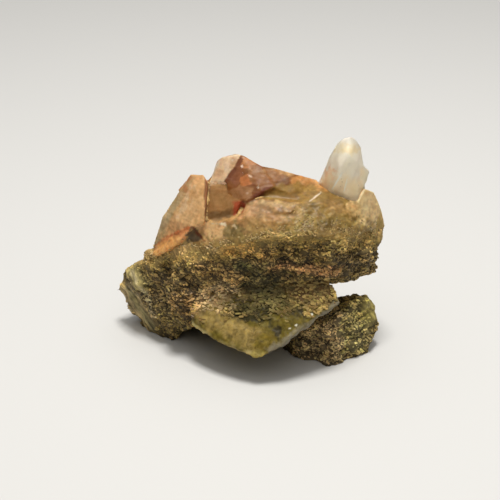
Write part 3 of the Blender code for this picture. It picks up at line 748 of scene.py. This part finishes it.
def stretchNoise(tree, noise, axes):  # draws a noise out along the axis that is shortest
    place = tree.nodes.new("ShaderNodeTexCoord")
    joined = tree.nodes.new("ShaderNodeCombineXYZ")
    for axis, socket in zip(axes, joined.inputs):
        share = tree.nodes.new("ShaderNodeVectorMath")
        share.operation = "DOT_PRODUCT"
        share.inputs[1].default_value = axis
        tree.links.new(place.outputs["Object"], share.inputs[0])
        tree.links.new(share.outputs["Value"], socket)
    tree.links.new(joined.outputs[0], noise.inputs["Vector"])


def matrixMaterial():
    material, tree, shader = startMaterial("epidote matrix")
    colour = attributeNode(tree, "zoneColour")
    fine = noiseNode(tree, 1400.0, 6.0, 0.7)
    lines = noiseNode(tree, 1500.0, 4.0, 0.6)
    stretchNoise(tree, lines, striation["axes"])
    bare = attributeNode(tree, "bareShare").outputs["Fac"]
    # painted shade: the core seen between the grains is darkened by a noise ramp
    gapShade = rampNode(tree, fine.outputs["Fac"], ((0.3, 0.30), (0.5, 0.52), (0.75, 0.85)))
    clean = rampNode(tree, lines.outputs["Fac"], ((0.36, 0.42), (0.5, 1.1), (0.64, 1.85)))
    smooth = mathNode(tree, "MULTIPLY", bare, 0.75)
    shade = mixNode(tree, "MIX", smooth.outputs[0], gapShade.outputs["Color"], clean.outputs["Color"])
    mixed = mixNode(tree, "MULTIPLY", 1.0, colour.outputs["Color"], shade.outputs["Result"])
    tree.links.new(mixed.outputs["Result"], shader.inputs["Base Color"])
    polish = mathNode(tree, "MULTIPLY", bare, 0.15)
    rough = mathNode(tree, "SUBTRACT", 0.75, polish.outputs[0])
    tree.links.new(rough.outputs[0], shader.inputs["Roughness"])
    shader.inputs["Specular IOR Level"].default_value = 0.35
    bump = bumpNode(tree, fine.outputs["Fac"], 0.8, 0.12)
    tree.links.new(bump.outputs["Normal"], shader.inputs["Normal"])
    return material


def grainMaterial():
    material, tree, shader = startMaterial("epidote grains")
    colour = attributeNode(tree, "zoneColour")
    shadeValue = attributeNode(tree, "grainShade")
    tintValue = attributeNode(tree, "grainTint")
    shade = rampNode(tree, shadeValue.outputs["Fac"], ((0.0, 0.52), (0.5, 0.94), (1.0, 1.38)))
    brightened = mixNode(tree, "MULTIPLY", 1.0, colour.outputs["Color"], shade.outputs["Color"])
    tint = rampNode(tree, tintValue.outputs["Fac"],
                    ((0.0, (1.06, 0.96, 0.86)), (0.5, (1.0, 1.0, 1.0)), (1.0, (0.96, 1.04, 0.86))))
    tinted = mixNode(tree, "MULTIPLY", 1.0, brightened.outputs["Result"], tint.outputs["Color"])
    tree.links.new(tinted.outputs["Result"], shader.inputs["Base Color"])
    shader.inputs["Roughness"].default_value = 0.42
    shader.inputs["IOR"].default_value = 1.6
    shader.inputs["Specular IOR Level"].default_value = 0.25
    return material


def quartzMaterial(name, look):
    material, tree, shader = startMaterial(name)
    colour = attributeNode(tree, "zoneColour")
    clearShare = attributeNode(tree, "clearShare").outputs["Fac"]
    cloud = noiseNode(tree, look["cloudScale"], 7.0, 0.68, 0.8)
    tone = rampNode(tree, cloud.outputs["Fac"],
                    ((0.30, look["cloudDark"]), (0.50, (1.0, 1.0, 1.0)), (0.72, look["cloudLight"])))
    mixed = mixNode(tree, "MULTIPLY", 1.0, colour.outputs["Color"], tone.outputs["Color"])
    tree.links.new(mixed.outputs["Result"], shader.inputs["Base Color"])
    fine = noiseNode(tree, look["fineScale"], 5.0, 0.6)
    rough = rampNode(tree, fine.outputs["Fac"], ((0.35, look["roughness"][0]), (0.7, look["roughness"][1])))
    polish = mathNode(tree, "MULTIPLY", clearShare, look["roughness"][0] * 0.25)
    polished = mathNode(tree, "SUBTRACT", rough.outputs["Color"], polish.outputs[0])
    tree.links.new(polished.outputs[0], shader.inputs["Roughness"])
    extra = mathNode(tree, "MULTIPLY", clearShare, look["clearest"] - look["transmission"])
    passing = mathNode(tree, "ADD", extra.outputs[0], look["transmission"])
    tree.links.new(passing.outputs[0], shader.inputs["Transmission Weight"])
    shader.inputs["IOR"].default_value = 1.544
    shader.inputs["Specular IOR Level"].default_value = look["gloss"]
    shader.inputs["Subsurface Weight"].default_value = look["subsurface"]
    shader.inputs["Subsurface Radius"].default_value = look["subsurfaceTint"]
    shader.inputs["Subsurface Scale"].default_value = look["subsurfaceDepth"] * mm
    bump = bumpNode(tree, fine.outputs["Fac"], look["bump"], 0.08)
    tree.links.new(bump.outputs["Normal"], shader.inputs["Normal"])
    return material


# the granular stone's core

matrixSizes = {
    "cell": 0.42,
    "roughHeight": 0.48,
    "roughSpacing": 1.0,
    "rows": (0.62, 0.9, 1.15),
    "fineHeight": 0.14,
    "underQuartz": 1.1,  # how far the core hides below a crystal's skin
    "quartzGlow": (222, 178, 122),  # the quartz's inner light, seen through its skin
    "wedgeGlow": (176, 152, 88),
    "clearGlow": (250, 232, 200),
    "clearBox": ((12.8, 1.0, 37.3), (27.5, 15.0, 52.0)),
}


def mergedCadCopy(name):
    mesh = bpy.data.objects[nodeName].data.copy()
    shape = bmesh.new()
    shape.from_mesh(mesh)
    bmesh.ops.remove_doubles(shape, verts=shape.verts, dist=1e-6)
    bmesh.ops.recalc_face_normals(shape, faces=shape.faces)
    shape.to_mesh(mesh)
    shape.free()
    mesh.materials.clear()
    return makeObject(name, mesh)


def matrixColours(points):
    height = aboveSeam(points) + 0.8 * roughNoise(points, 3.0, 5)
    colours = paintZones(points, matrixLook["base"], [])
    # painted shade, partly the stone's darker tone: the strip below the seam is darkened
    shadedBand = (smoothStep(-13, -10, height) * smoothStep(-3.0, -5.0, height))[:, None] * 0.8
    colours = colours * (1 - shadedBand) + linear(matrixLook["darkAndShadedBand"]) * shadedBand
    seam = smoothStep(-4.2, -1.8, height)[:, None] * 0.85
    colours = colours * (1 - seam) + linear(matrixLook["seamBand"]) * seam
    knobs = smoothStep(-1.4, 1.2, height)[:, None] * 0.9
    colours = colours * (1 - knobs) + linear(matrixLook["knobbly"]) * knobs
    colours = addZones(points, colours, matrixLook["zones"])
    blotches = 1 + 0.18 * roughNoise(points, 4.5, 8)[:, None]
    return colours * blotches


def stoneRelief(points):  # lumps and pits of the granular stone, in millimetres
    rough = roughNoise(points * matrixSizes["rows"], matrixSizes["roughSpacing"], 70, 2) * matrixSizes["roughHeight"]
    return (rough - matrixSizes["roughHeight"] * 0.5) * (0.3 + 0.7 * smoothStep(1.0, -4.5, aboveSeam(points)))


def buildMatrix():
    core = mergedCadCopy("epidote_matrix")
    low, high = matrixSizes["clearBox"]
    corners = [(x, y, z) for x in (low[0], high[0]) for y in (low[1], high[1]) for z in (low[2], high[2])]
    combine(core, makeObject("clear_cut", hullMesh("clear_cut", corners)), "DIFFERENCE")
    voxelRemesh(core, matrixSizes["cell"])
    points = toDesign(readPoints(core.data))
    underQuartz = smoothStep(0.25, -0.15, depthOutside(points, list(stainedBlocks.values())))
    underWedge = smoothStep(0.25, -0.15, depthOutside(points, [wedgeCorners]))
    underClear = smoothStep(0.35, -0.05, depthOutside(points, list(clearBlocks.values())))
    under = np.maximum(np.maximum(underQuartz, underWedge), underClear)
    soften(core.data, under, 14)
    points = toDesign(readPoints(core.data))
    normals = readNormals(core.data)
    hide = under * matrixSizes["underQuartz"]
    rough = stoneRelief(points) + softNoise(points, 0.6, 75) * matrixSizes["fineHeight"]
    bare = clearShares(points, matrixLook["bareZones"])
    bare = np.maximum(bare, smoothStep(-3.6, 1.6, aboveSeam(points) + 0.8 * roughNoise(points, 1.6, 78)))
    bare = np.maximum(bare, under)
    streak = softNoise(points @ np.array(striation["axes"]).T, striation["spacing"], 77)
    streak *= smoothStep(-16, -20, points[:, 0])
    standing = smoothStep(0.0, 0.8, points[:, 2])
    lift = rough * (1 - 0.6 * bare) * (1 - under) + 0.2 * streak * bare * (1 - under)
    moved = points + normals * ((lift * standing) - hide)[:, None]
    moved[:, 2] = np.maximum(moved[:, 2], 0.0)
    offset = np.array([designMiddle[0], designMiddle[1], 0.0])
    writePoints(core.data, (moved - offset) * mm)
    # painted shade: the core is darker in its pits and lows, the dark spaces between the grains; on bare stone the
    # factor carries the striation streaks instead
    pitShadeAndStreaks = np.clip(0.55 + rough * 0.8, 0.2, 0.9) * (1 - bare) + (1.0 + 0.6 * streak) * bare
    pitShadeAndStreaks = pitShadeAndStreaks[:, None]
    colours = matrixColours(points) * pitShadeAndStreaks
    glows = (matrixSizes["quartzGlow"], matrixSizes["wedgeGlow"], matrixSizes["clearGlow"])
    for share, glow in zip((underQuartz, underWedge, underClear), glows):
        cloudy = np.clip(0.9 + 0.35 * roughNoise(points, 1.6, 79), 0.35, 1.2)[:, None]
        colours = colours * (1 - share[:, None]) + linear(glow) * cloudy * share[:, None]
    writeColours(core.data, "zoneColour", colours)
    writeValues(core.data, "bareShare", bare)
    core.data.materials.append(matrixMaterial())
    shadeSmooth(core)
    print("matrix core:", len(core.data.polygons), "faces")
    return core


# stained quartz

quartzSizes = {
    "cell": 0.24,
    "relaxRounds": 2,
    "bumpHeight": 0.24,
    "stepHeight": 0.05,
    "flawAxes": np.array([[1.0, -0.5, 0.2], [0.3, 0.8, 0.2], [-0.3, 0.1, 0.45]]),
    "flawStrength": 0.16,
    "surface": {
        "transmission": 0.30, "clearest": 0.6, "subsurface": 0.45, "subsurfaceDepth": 1.6, "subsurfaceTint": (1.0, 0.62, 0.38),
        "roughness": (0.38, 0.56), "bump": 0.3, "fineScale": 1500.0, "gloss": 0.08,
        "cloudScale": 900.0, "cloudDark": (0.84, 0.78, 0.70), "cloudLight": (1.12, 1.11, 1.09),
    },
}


def joinBlocks(name, blocks):
    parts = [makeObject(name, hullMesh(name, corners)) for corners in blocks]
    whole = parts[0]
    for part in parts[1:]:
        combine(whole, part)
    return whole


def facetColours(points, look, blocks):  # each block's own colour, a little different on each flat face
    nearest = np.full(len(points), 1e9)
    colours = np.ones((len(points), 3))
    random = np.random.RandomState(29)
    for name, corners in blocks.items():
        normals, offsets = hullPlanes(corners)
        tints = random.uniform(1 - look["facetSpread"], 1 + look["facetSpread"], len(offsets))
        distances = points @ normals.T - offsets
        outside = distances.max(axis=1)
        closer = outside < nearest
        nearest[closer] = outside[closer]
        colours[closer] = (linear(look["blocks"][name]) * tints[distances.argmax(axis=1)][:, None])[closer]
    return colours


def addZones(points, colours, zones):
    for zone in zones:
        share = zoneShare(points, zone)[:, None]
        colours = colours * (1 - share) + linear(zone["colour"]) * share
    return colours


def clearShares(points, zones):
    shares = [zoneShare(points, zone) for zone in zones]
    return np.max(shares, axis=0)


def buildQuartz():
    quartz = joinBlocks("stained_quartz", list(stainedBlocks.values()))
    voxelRemesh(quartz, quartzSizes["cell"])
    relax(quartz, quartzSizes["relaxRounds"])
    points = toDesign(readPoints(quartz.data))
    beds = [stainedBlocks[name] for name in ("bedLeft", "centreRise", "bedRight", "smokyFacet")]
    soften(quartz.data, smoothStep(0.4, 0.0, depthOutside(points, beds)), 8)
    points = toDesign(readPoints(quartz.data))
    normals = readNormals(quartz.data)
    bumpy = smoothStep(6.0, 2.0, aboveSeam(points))  # the lower part is knobbly, the crystals above are smooth
    wave = roughNoise(points, 1.6, 90) * quartzSizes["bumpHeight"] * (0.12 + 0.88 * bumpy)
    wave += softNoise(points * (1, 1, 3.5), 1.1, 95) * quartzSizes["stepHeight"]
    wave += softNoise(points, 0.55, 96) * 0.1 * bumpy
    offset = np.array([designMiddle[0], designMiddle[1], 0.0])
    writePoints(quartz.data, (points + normals * wave[:, None] - offset) * mm)
    colours = facetColours(points, quartzLook, stainedBlocks)
    colours = addZones(points, colours, quartzLook["zones"])
    stain = 1 + 0.12 * roughNoise(points, 2.4, 97)[:, None] * np.array([0.6, 1.0, 1.5])
    leaning = points @ quartzSizes["flawAxes"].T
    flaws = 0.6 * shards(leaning, 1.7, 101) + 0.4 * shards(leaning, 0.8, 102)
    flawShare = smoothStep(1.0, 5.0, aboveSeam(points))
    stain *= 1 + quartzSizes["flawStrength"] * (flaws * flawShare)[:, None] * np.array([0.7, 1.0, 1.4])
    behind = smoothStep(10.0, 16.0, points[:, 1])
    veils = shards(points @ quartzSizes["flawAxes"].T, 2.6, 103) + softNoise(points * (0.5, 0.5, 2.2), 1.2, 104)
    stain *= 1 + 0.16 * (veils * behind)[:, None] * np.array([0.8, 1.0, 1.3])
    speckle = softNoise(points, 0.42, 99) + 0.6 * softNoise(points, 0.9, 100)
    lowShare = smoothStep(9.0, 3.0, aboveSeam(points))
    stain *= 1 + (0.09 + 0.24 * lowShare)[:, None] * speckle[:, None]
    greening = smoothStep(4.6, 0.4, aboveSeam(points) + 1.2 * roughNoise(points, 1.3, 98))[:, None] * 0.8
    greening *= smoothStep(0.1, 0.6, depthOutside(points, [stainedBlocks["backPointLow"]]))[:, None]
    colours = colours * (1 - greening) + linear(matrixLook["seamBand"]) * greening
    colours = addFacets(points, normals, colours, quartzLook["facets"])
    # then the painted highlight sliver, under the stain's tint
    colours = addZones(points, colours, quartzLook["paintedHighlights"]) * stain
    writeColours(quartz.data, "zoneColour", colours)
    writeValues(quartz.data, "clearShare", clearShares(points, quartzLook["clearZones"]))
    quartz.data.materials.append(quartzMaterial("stained quartz", quartzSizes["surface"]))
    shadeSmooth(quartz)
    print("stained quartz:", len(quartz.data.polygons), "faces")
    return quartz


# the glassy wedge in front

wedgeSizes = {
    "cell": 0.22,
    "relaxRounds": 2,
    "waveHeight": 0.14,
    "grainHeight": 0.10,
    "edgeChips": 0.3,
    "surface": {
        "transmission": 0.06, "clearest": 0.6, "subsurface": 0.3, "subsurfaceDepth": 0.9, "subsurfaceTint": (1.0, 0.62, 0.38),
        "roughness": (0.38, 0.58), "bump": 0.6, "fineScale": 2200.0, "gloss": 0.08,
        "cloudScale": 900.0, "cloudDark": (0.56, 0.52, 0.42), "cloudLight": (1.28, 1.24, 1.10),
    },
}


def buildWedge():
    wedge = makeObject("glassy_wedge", hullMesh("glassy_wedge", wedgeCorners))
    voxelRemesh(wedge, wedgeSizes["cell"])
    relax(wedge, wedgeSizes["relaxRounds"])
    points = toDesign(readPoints(wedge.data))
    normals = readNormals(wedge.data)
    rim = zoneShare(points, wedgeLook["rim"])
    wave = roughNoise(points, 2.6, 110) * wedgeSizes["waveHeight"]
    wave += roughNoise(points, 0.9, 112, 2) * wedgeSizes["grainHeight"] * (1 - rim)
    below = smoothStep(0.2, -0.2, normals[:, 2])
    wave += roughNoise(points, 1.3, 115) * wedgeSizes["edgeChips"] * below
    offset = np.array([designMiddle[0], designMiddle[1], 0.0])
    writePoints(wedge.data, (points + normals * wave[:, None] - offset) * mm)
    colours = paintZones(points, wedgeLook["base"], wedgeLook["zones"])
    branches = smoothStep(0.14, 0.0, np.abs(roughNoise(points, 2.2, 119, 4)))  # dark hair-like growths inside
    patchy = smoothStep(-0.3, 0.5, roughNoise(points, 4.0, 120, 2))
    colours = colours * (1 - 0.45 * (branches * patchy)[:, None])
    colours = colours * (1 + 0.30 * roughNoise(points, 0.8, 118)[:, None])
    edges = [wedgeLook["leftRim"], wedgeLook["rim"], wedgeLook["tip"]]
    colours = addZones(points, colours, edges + wedgeLook["glints"])
    writeColours(wedge.data, "zoneColour", colours)
    writeValues(wedge.data, "clearShare", rim)
    wedge.data.materials.append(quartzMaterial("olive glassy wedge", wedgeSizes["surface"]))
    shadeSmooth(wedge)
    print("wedge:", len(wedge.data.polygons), "faces")
    return wedge


# the clear point

clearSizes = {
    "cell": 0.20,
    "streakAxes": np.array([[1.2, 0.0, -0.5], [0.0, 0.6, 0.0], [0.12, 0.0, 0.3]]),
    "relaxRounds": 7,
    "waveHeight": 0.10,
    "surface": {
        "transmission": 0.54, "clearest": 0.26, "subsurface": 0.7, "subsurfaceDepth": 4.0, "subsurfaceTint": (1.0, 0.95, 0.88),
        "roughness": (0.36, 0.48), "bump": 0.1, "fineScale": 900.0, "gloss": 0.09,
        "cloudScale": 500.0, "cloudDark": (0.94, 0.92, 0.88), "cloudLight": (1.0, 1.0, 1.0),
    },
}


def buildClearPoint():
    clear = joinBlocks("clear_point", list(clearBlocks.values()))
    voxelRemesh(clear, clearSizes["cell"])
    relax(clear, clearSizes["relaxRounds"])
    points = toDesign(readPoints(clear.data))
    normals = readNormals(clear.data)
    wave = roughNoise(points, 2.0, 130) * clearSizes["waveHeight"]
    offset = np.array([designMiddle[0], designMiddle[1], 0.0])
    writePoints(clear.data, (points + normals * wave[:, None] - offset) * mm)
    colours = paintZones(points, clearLook["base"], clearLook["zones"])
    streaks = softNoise(points @ clearSizes["streakAxes"].T, 0.7, 133) + 0.8 * shards(points, 2.2, 134)
    colours = colours * (1 + 0.10 * streaks[:, None])
    # painted shade: faces turned away from the front view are greyed into a dark outline
    turnedAway = smoothStep(0.34, 0.05, np.abs(normals @ np.array([0.0, -0.891, 0.454])))[:, None] * 0.5
    colours = colours * (1 - turnedAway) + linear(clearLook["edge"]) * turnedAway
    writeColours(clear.data, "zoneColour", colours)
    writeValues(clear.data, "clearShare", clearShares(points, clearLook["milkyZones"]))
    clear.data.materials.append(quartzMaterial("clear quartz", clearSizes["surface"]))
    shadeSmooth(clear)
    print("clear point:", len(clear.data.polygons), "faces")
    return clear


# epidote grains, scattered over the granular stone

grainBed = {"cell": 0.5, "sink": 0.12, "overQuartz": -0.04, "overWedge": 0.16}
grainRows = {"along": (1.0, 0.0, -0.22), "spread": 0.75}
grainKinds = {
    "epidote_needles": {"count": 8000, "length": (0.8, 1.5), "width": (0.34, 0.54), "tilt": (66, 100), "seed": 3,
                        "share": "grainShare", "shade": (0.0, 1.0)},
    "epidote_grains": {"count": 6000, "length": (0.55, 1.0), "width": (0.42, 0.66), "tilt": (40, 100), "seed": 7,
                       "share": "grainShare", "shade": (0.0, 1.0)},
    "epidote_crumbs": {"count": 5200, "length": (0.35, 0.7), "width": (0.26, 0.46), "tilt": (0, 90), "seed": 9,
                       "share": "grainShare", "shade": (0.0, 1.0)},
    "seam_crumbs": {"count": 5200, "length": (0.3, 0.6), "width": (0.28, 0.46), "tilt": (20, 100), "seed": 13,
                    "share": "seamShare", "shade": (0.28, 0.66)},
}


def buildGrainBed():
    bed = mergedCadCopy("grain_bed")
    voxelRemesh(bed, grainBed["cell"])
    points = toDesign(readPoints(bed.data))
    normals = readNormals(bed.data)
    height = aboveSeam(points) + 0.9 * roughNoise(points, 2.5, 140)
    share = smoothStep(2.4, -2.2, height) ** 1.6
    share *= 1 - 0.8 * clearShares(points, matrixLook["bareZones"])
    share *= 1 - smoothStep(0.5, 0.1, depthOutside(points, list(clearBlocks.values())))
    onWedge = smoothStep(0.6, 0.2, depthOutside(points, [wedgeCorners]))
    glassyTo = np.interp(points[:, 0], (-12, -8, -1, 3, 6, 10, 18), (12.0, 12.8, 13.2, 13.8, 14.4, 15.0, 15.8))
    upWedge = smoothStep(-1.4, 1.4, points[:, 2] - glassyTo + 1.1 * roughNoise(points, 2.5, 141))
    upWedge *= smoothStep(-0.4, 0.1, normals[:, 2]) * (1 - zoneShare(points, wedgeLook["rim"]))
    share *= 1 - onWedge * (1 - upWedge)
    share *= smoothStep(0.15, 0.7, points[:, 2]) * smoothStep(-29.4, -27.6, points[:, 0])
    offBackPoint = smoothStep(0.1, 0.6, depthOutside(points, [stainedBlocks["backPointLow"]]))
    share *= offBackPoint
    writeValues(bed.data, "grainShare", np.clip(share, 0, 1))
    seam = smoothStep(3.4, 0.2, height) ** 1.4 * smoothStep(-3.6, -1.2, height)
    orange = [facet for facet in quartzLook["facets"] if facet["seed"] in (204, 206, 207)]
    seam *= 1 - np.max([facetShare(points, facet) for facet in orange], axis=0)
    seam *= offBackPoint * (1 - smoothStep(0.5, 0.1, depthOutside(points, list(clearBlocks.values()))))
    writeValues(bed.data, "seamShare", np.clip(seam, 0, 1))
    overWedge = smoothStep(0.3, -0.1, depthOutside(points, [wedgeCorners]))
    overQuartz = smoothStep(0.3, -0.1, depthOutside(points, list(stainedBlocks.values()))) * (1 - overWedge)
    relief = stoneRelief(points) * (1 - overQuartz) * (1 - overWedge) + grainBed["sink"] * (overQuartz + overWedge)
    relief += grainBed["overQuartz"] * overQuartz + grainBed["overWedge"] * overWedge
    # painted light and shade: grains on the lumps lighter, grains in the pits darker; further down the factor also
    # darkens the grains over the wedge and along the right seam, their own tone
    reliefShadeAndTone = np.clip(1.44 + stoneRelief(points) * 1.7, 0.5, 1.8)[:, None]
    colours = matrixColours(points)
    pale = smoothStep(-1.0, 1.6, height)[:, None] * 0.8
    colours = colours * (1 - pale) + linear(matrixLook["seamCrumbs"]) * pale
    reliefShadeAndTone *= 1 - 0.2 * overWedge[:, None]
    rightSeam = smoothStep(9.0, 13.0, points[:, 0]) * smoothStep(-2.4, -0.6, height)
    reliefShadeAndTone *= 1 - 0.28 * rightSeam[:, None]
    lit = colours * reliefShadeAndTone
    writeColours(bed.data, "zoneColour", lit)
    offset = np.array([designMiddle[0], designMiddle[1], 0.0])
    lift = (relief - grainBed["sink"]) * smoothStep(0.0, 0.8, points[:, 2])
    writePoints(bed.data, (points + normals * lift[:, None] - offset) * mm)
    return bed


def buildGrainShape():  # one epidote prism, a unit long and wide, with slanted ends
    shape = bmesh.new()
    lower = [shape.verts.new((0.5 * math.cos(a), 0.4 * math.sin(a), -0.36)) for a in (0.3, 1.9, 3.4, 5.0)]
    upper = [shape.verts.new((0.5 * math.cos(a), 0.4 * math.sin(a), 0.32)) for a in (0.3, 1.9, 3.4, 5.0)]
    foot = shape.verts.new((0.08, 0.0, -0.5))
    tip = shape.verts.new((-0.1, 0.05, 0.5))
    for side in range(4):
        after = (side + 1) % 4
        shape.faces.new((lower[side], lower[after], upper[after], upper[side]))
        shape.faces.new((lower[after], lower[side], foot))
        shape.faces.new((upper[side], upper[after], tip))
    bmesh.ops.recalc_face_normals(shape, faces=shape.faces)
    mesh = bpy.data.meshes.new("grain_shape")
    shape.to_mesh(mesh)
    shape.free()
    return makeObject("grain_shape", mesh)


def grainTree(name, material, shareName):
    tree = bpy.data.node_groups.new(name, "GeometryNodeTree")
    sockets = {}
    for label, kind in (("Geometry", "NodeSocketGeometry"), ("Grain", "NodeSocketObject"),
                        ("Density", "NodeSocketFloat"), ("Shortest", "NodeSocketFloat"),
                        ("Longest", "NodeSocketFloat"), ("Thinnest", "NodeSocketFloat"),
                        ("Thickest", "NodeSocketFloat"), ("Least tilt", "NodeSocketFloat"),
                        ("Most tilt", "NodeSocketFloat"), ("Darkest", "NodeSocketFloat"),
                        ("Lightest", "NodeSocketFloat"), ("Seed", "NodeSocketInt")):
        sockets[label] = tree.interface.new_socket(label, in_out="INPUT", socket_type=kind).identifier
    tree.interface.new_socket("Geometry", in_out="OUTPUT", socket_type="NodeSocketGeometry")
    nodes, links = tree.nodes, tree.links
    given = nodes.new("NodeGroupInput").outputs
    share = nodes.new("GeometryNodeInputNamedAttribute")
    share.data_type = "FLOAT"
    share.inputs["Name"].default_value = shareName
    density = nodes.new("ShaderNodeMath")
    density.operation = "MULTIPLY"
    links.new(share.outputs["Attribute"], density.inputs[0])
    links.new(given["Density"], density.inputs[1])
    spread = nodes.new("GeometryNodeDistributePointsOnFaces")
    links.new(given["Geometry"], spread.inputs["Mesh"])
    links.new(density.outputs[0], spread.inputs["Density"])
    links.new(given["Seed"], spread.inputs["Seed"])

    def randomValue(low, high, turn):
        node = nodes.new("FunctionNodeRandomValue")
        node.data_type = "FLOAT"
        for source, index in ((low, 2), (high, 3)):
            if isinstance(source, float):
                node.inputs[index].default_value = source
            else:
                links.new(source, node.inputs[index])
        shifted = nodes.new("ShaderNodeMath")
        shifted.operation = "ADD"
        shifted.inputs[1].default_value = float(turn)
        links.new(given["Seed"], shifted.inputs[0])
        links.new(shifted.outputs[0], node.inputs["Seed"])
        return node.outputs[1]

    turned = nodes.new("ShaderNodeCombineXYZ")
    links.new(randomValue(given["Least tilt"], given["Most tilt"], 11), turned.inputs["X"])
    links.new(randomValue(-grainRows["spread"], grainRows["spread"], 23), turned.inputs["Z"])
    asRotation = nodes.new("FunctionNodeEulerToRotation")
    links.new(turned.outputs[0], asRotation.inputs[0])
    alongRows = nodes.new("FunctionNodeAlignRotationToVector")  # keeps the grains' long axes near the rows
    alongRows.axis = "Y"
    alongRows.pivot_axis = "Z"
    alongRows.inputs["Vector"].default_value = grainRows["along"]
    links.new(spread.outputs["Rotation"], alongRows.inputs["Rotation"])
    rotate = nodes.new("FunctionNodeRotateRotation")
    rotate.rotation_space = "LOCAL"
    links.new(alongRows.outputs[0], rotate.inputs["Rotation"])
    links.new(asRotation.outputs[0], rotate.inputs["Rotate By"])
    width = randomValue(given["Thinnest"], given["Thickest"], 37)
    size = nodes.new("ShaderNodeCombineXYZ")
    links.new(width, size.inputs["X"])
    links.new(width, size.inputs["Y"])
    links.new(randomValue(given["Shortest"], given["Longest"], 41), size.inputs["Z"])
    grain = nodes.new("GeometryNodeObjectInfo")
    links.new(given["Grain"], grain.inputs["Object"])
    place = nodes.new("GeometryNodeInstanceOnPoints")
    links.new(spread.outputs["Points"], place.inputs["Points"])
    links.new(grain.outputs["Geometry"], place.inputs["Instance"])
    links.new(rotate.outputs[0], place.inputs["Rotation"])
    links.new(size.outputs[0], place.inputs["Scale"])
    last = place.outputs["Instances"]
    shadeRange = (given["Darkest"], given["Lightest"])
    for label, (low, high), turn in (("grainShade", shadeRange, 53), ("grainTint", (0.0, 1.0), 67)):
        store = nodes.new("GeometryNodeStoreNamedAttribute")
        store.data_type = "FLOAT"
        store.domain = "INSTANCE"
        store.inputs["Name"].default_value = label
        links.new(last, store.inputs["Geometry"])
        links.new(randomValue(low, high, turn), store.inputs["Value"])
        last = store.outputs["Geometry"]
    realize = nodes.new("GeometryNodeRealizeInstances")
    links.new(last, realize.inputs["Geometry"])
    finish = nodes.new("GeometryNodeSetMaterial")
    finish.inputs["Material"].default_value = material
    links.new(realize.outputs["Geometry"], finish.inputs["Geometry"])
    out = nodes.new("NodeGroupOutput")
    links.new(finish.outputs["Geometry"], out.inputs["Geometry"])
    return tree, sockets


def bedArea(bed, shareName):
    shares = np.empty(len(bed.data.vertices))
    bed.data.attributes[shareName].data.foreach_get("value", shares)
    return sum(face.area * shares[list(face.vertices)].mean() for face in bed.data.polygons)


def buildGrains():
    bed = buildGrainBed()
    shape = buildGrainShape()
    material = grainMaterial()
    pieces = []
    for name, kind in grainKinds.items():
        tree, sockets = grainTree(name, material, kind["share"])
        area = bedArea(bed, kind["share"])
        holder = makeObject(name, bed.data.copy())
        step = holder.modifiers.new("scatter", "NODES")
        step.node_group = tree
        values = {
            "Grain": shape, "Density": kind["count"] / area, "Seed": kind["seed"],
            "Shortest": kind["length"][0] * mm, "Longest": kind["length"][1] * mm,
            "Thinnest": kind["width"][0] * mm, "Thickest": kind["width"][1] * mm,
            "Least tilt": math.radians(kind["tilt"][0]), "Most tilt": math.radians(kind["tilt"][1]),
            "Darkest": kind["shade"][0], "Lightest": kind["shade"][1],
        }
        for label, value in values.items():
            step[sockets[label]] = value
        applyModifiers(holder)
        points = readPoints(holder.data)
        points[:, 2] = np.maximum(points[:, 2], 0.0)  # nothing below the table
        writePoints(holder.data, points)
        pieces.append(holder)
        print(name, len(holder.data.polygons), "faces")
    removeObject(bed)
    removeObject(shape)
    return pieces


# table, light and camera

def buildStudio():
    shape = bmesh.new()
    bmesh.ops.create_grid(shape, x_segments=1, y_segments=1, size=1.5)
    mesh = bpy.data.meshes.new("table_top")
    shape.to_mesh(mesh)
    shape.free()
    floor = makeObject("table_top", mesh)
    material, tree, shader = startMaterial("white table")
    shader.inputs["Base Color"].default_value = (*linear(studio["floorColour"]), 1)
    shader.inputs["Roughness"].default_value = 0.6
    shader.inputs["Specular IOR Level"].default_value = 0.2
    mesh.materials.append(material)

    world = bpy.data.worlds.new("studio")
    world.use_nodes = True
    tree = world.node_tree
    sky = tree.nodes["Background"]
    place = tree.nodes.new("ShaderNodeTexCoord")
    parts = tree.nodes.new("ShaderNodeSeparateXYZ")
    tree.links.new(place.outputs["Generated"], parts.inputs[0])
    low = tuple(linear(studio["skyColour"]) * studio["skyLow"])
    high = tuple(linear(studio["skyColour"]))
    fade = rampNode(tree, parts.outputs["Z"], ((0.0, low), (0.35, low), (0.95, high)))
    tree.links.new(fade.outputs["Color"], sky.inputs["Color"])
    sky.inputs["Strength"].default_value = studio["skyStrength"]
    bpy.context.scene.world = world

    lamp = bpy.data.lights.new("soft_lamp", "AREA")
    lamp.size = studio["lampSize"]
    lamp.energy = studio["lampPower"]
    lamp.color = (1.0, 0.985, 0.96)
    holder = bpy.data.objects.new("soft_lamp", lamp)
    holder.location = studio["lampPlace"]
    aim = Vector((0, 0, 0.02)) - holder.location
    holder.rotation_euler = aim.to_track_quat("-Z", "Y").to_euler()
    bpy.context.scene.collection.objects.link(holder)


def buildCamera():
    camera = bpy.data.cameras.new("camera")
    camera.lens = studio["lens"]
    camera.sensor_width = studio["sensor"]
    camera.clip_start = 0.005
    holder = bpy.data.objects.new("camera", camera)
    tilt = math.radians(studio["elevation"])
    ahead = Vector((0, math.cos(tilt), -math.sin(tilt)))
    holder.location = toFrame(studio["target"]) - ahead * studio["distance"] * mm
    holder.rotation_euler = ahead.to_track_quat("-Z", "Y").to_euler()
    bpy.context.scene.collection.objects.link(holder)
    bpy.context.scene.camera = holder
    bpy.context.scene.view_settings.view_transform = "Standard"


buildCamera()
buildStudio()
matrix = buildMatrix()
quartz = buildQuartz()
wedge = buildWedge()
clear = buildClearPoint()
grains = buildGrains()
for piece in [matrix, quartz, wedge, clear] + grains:
    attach(piece, "root")
    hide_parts(nodeName)

print("all pieces made")
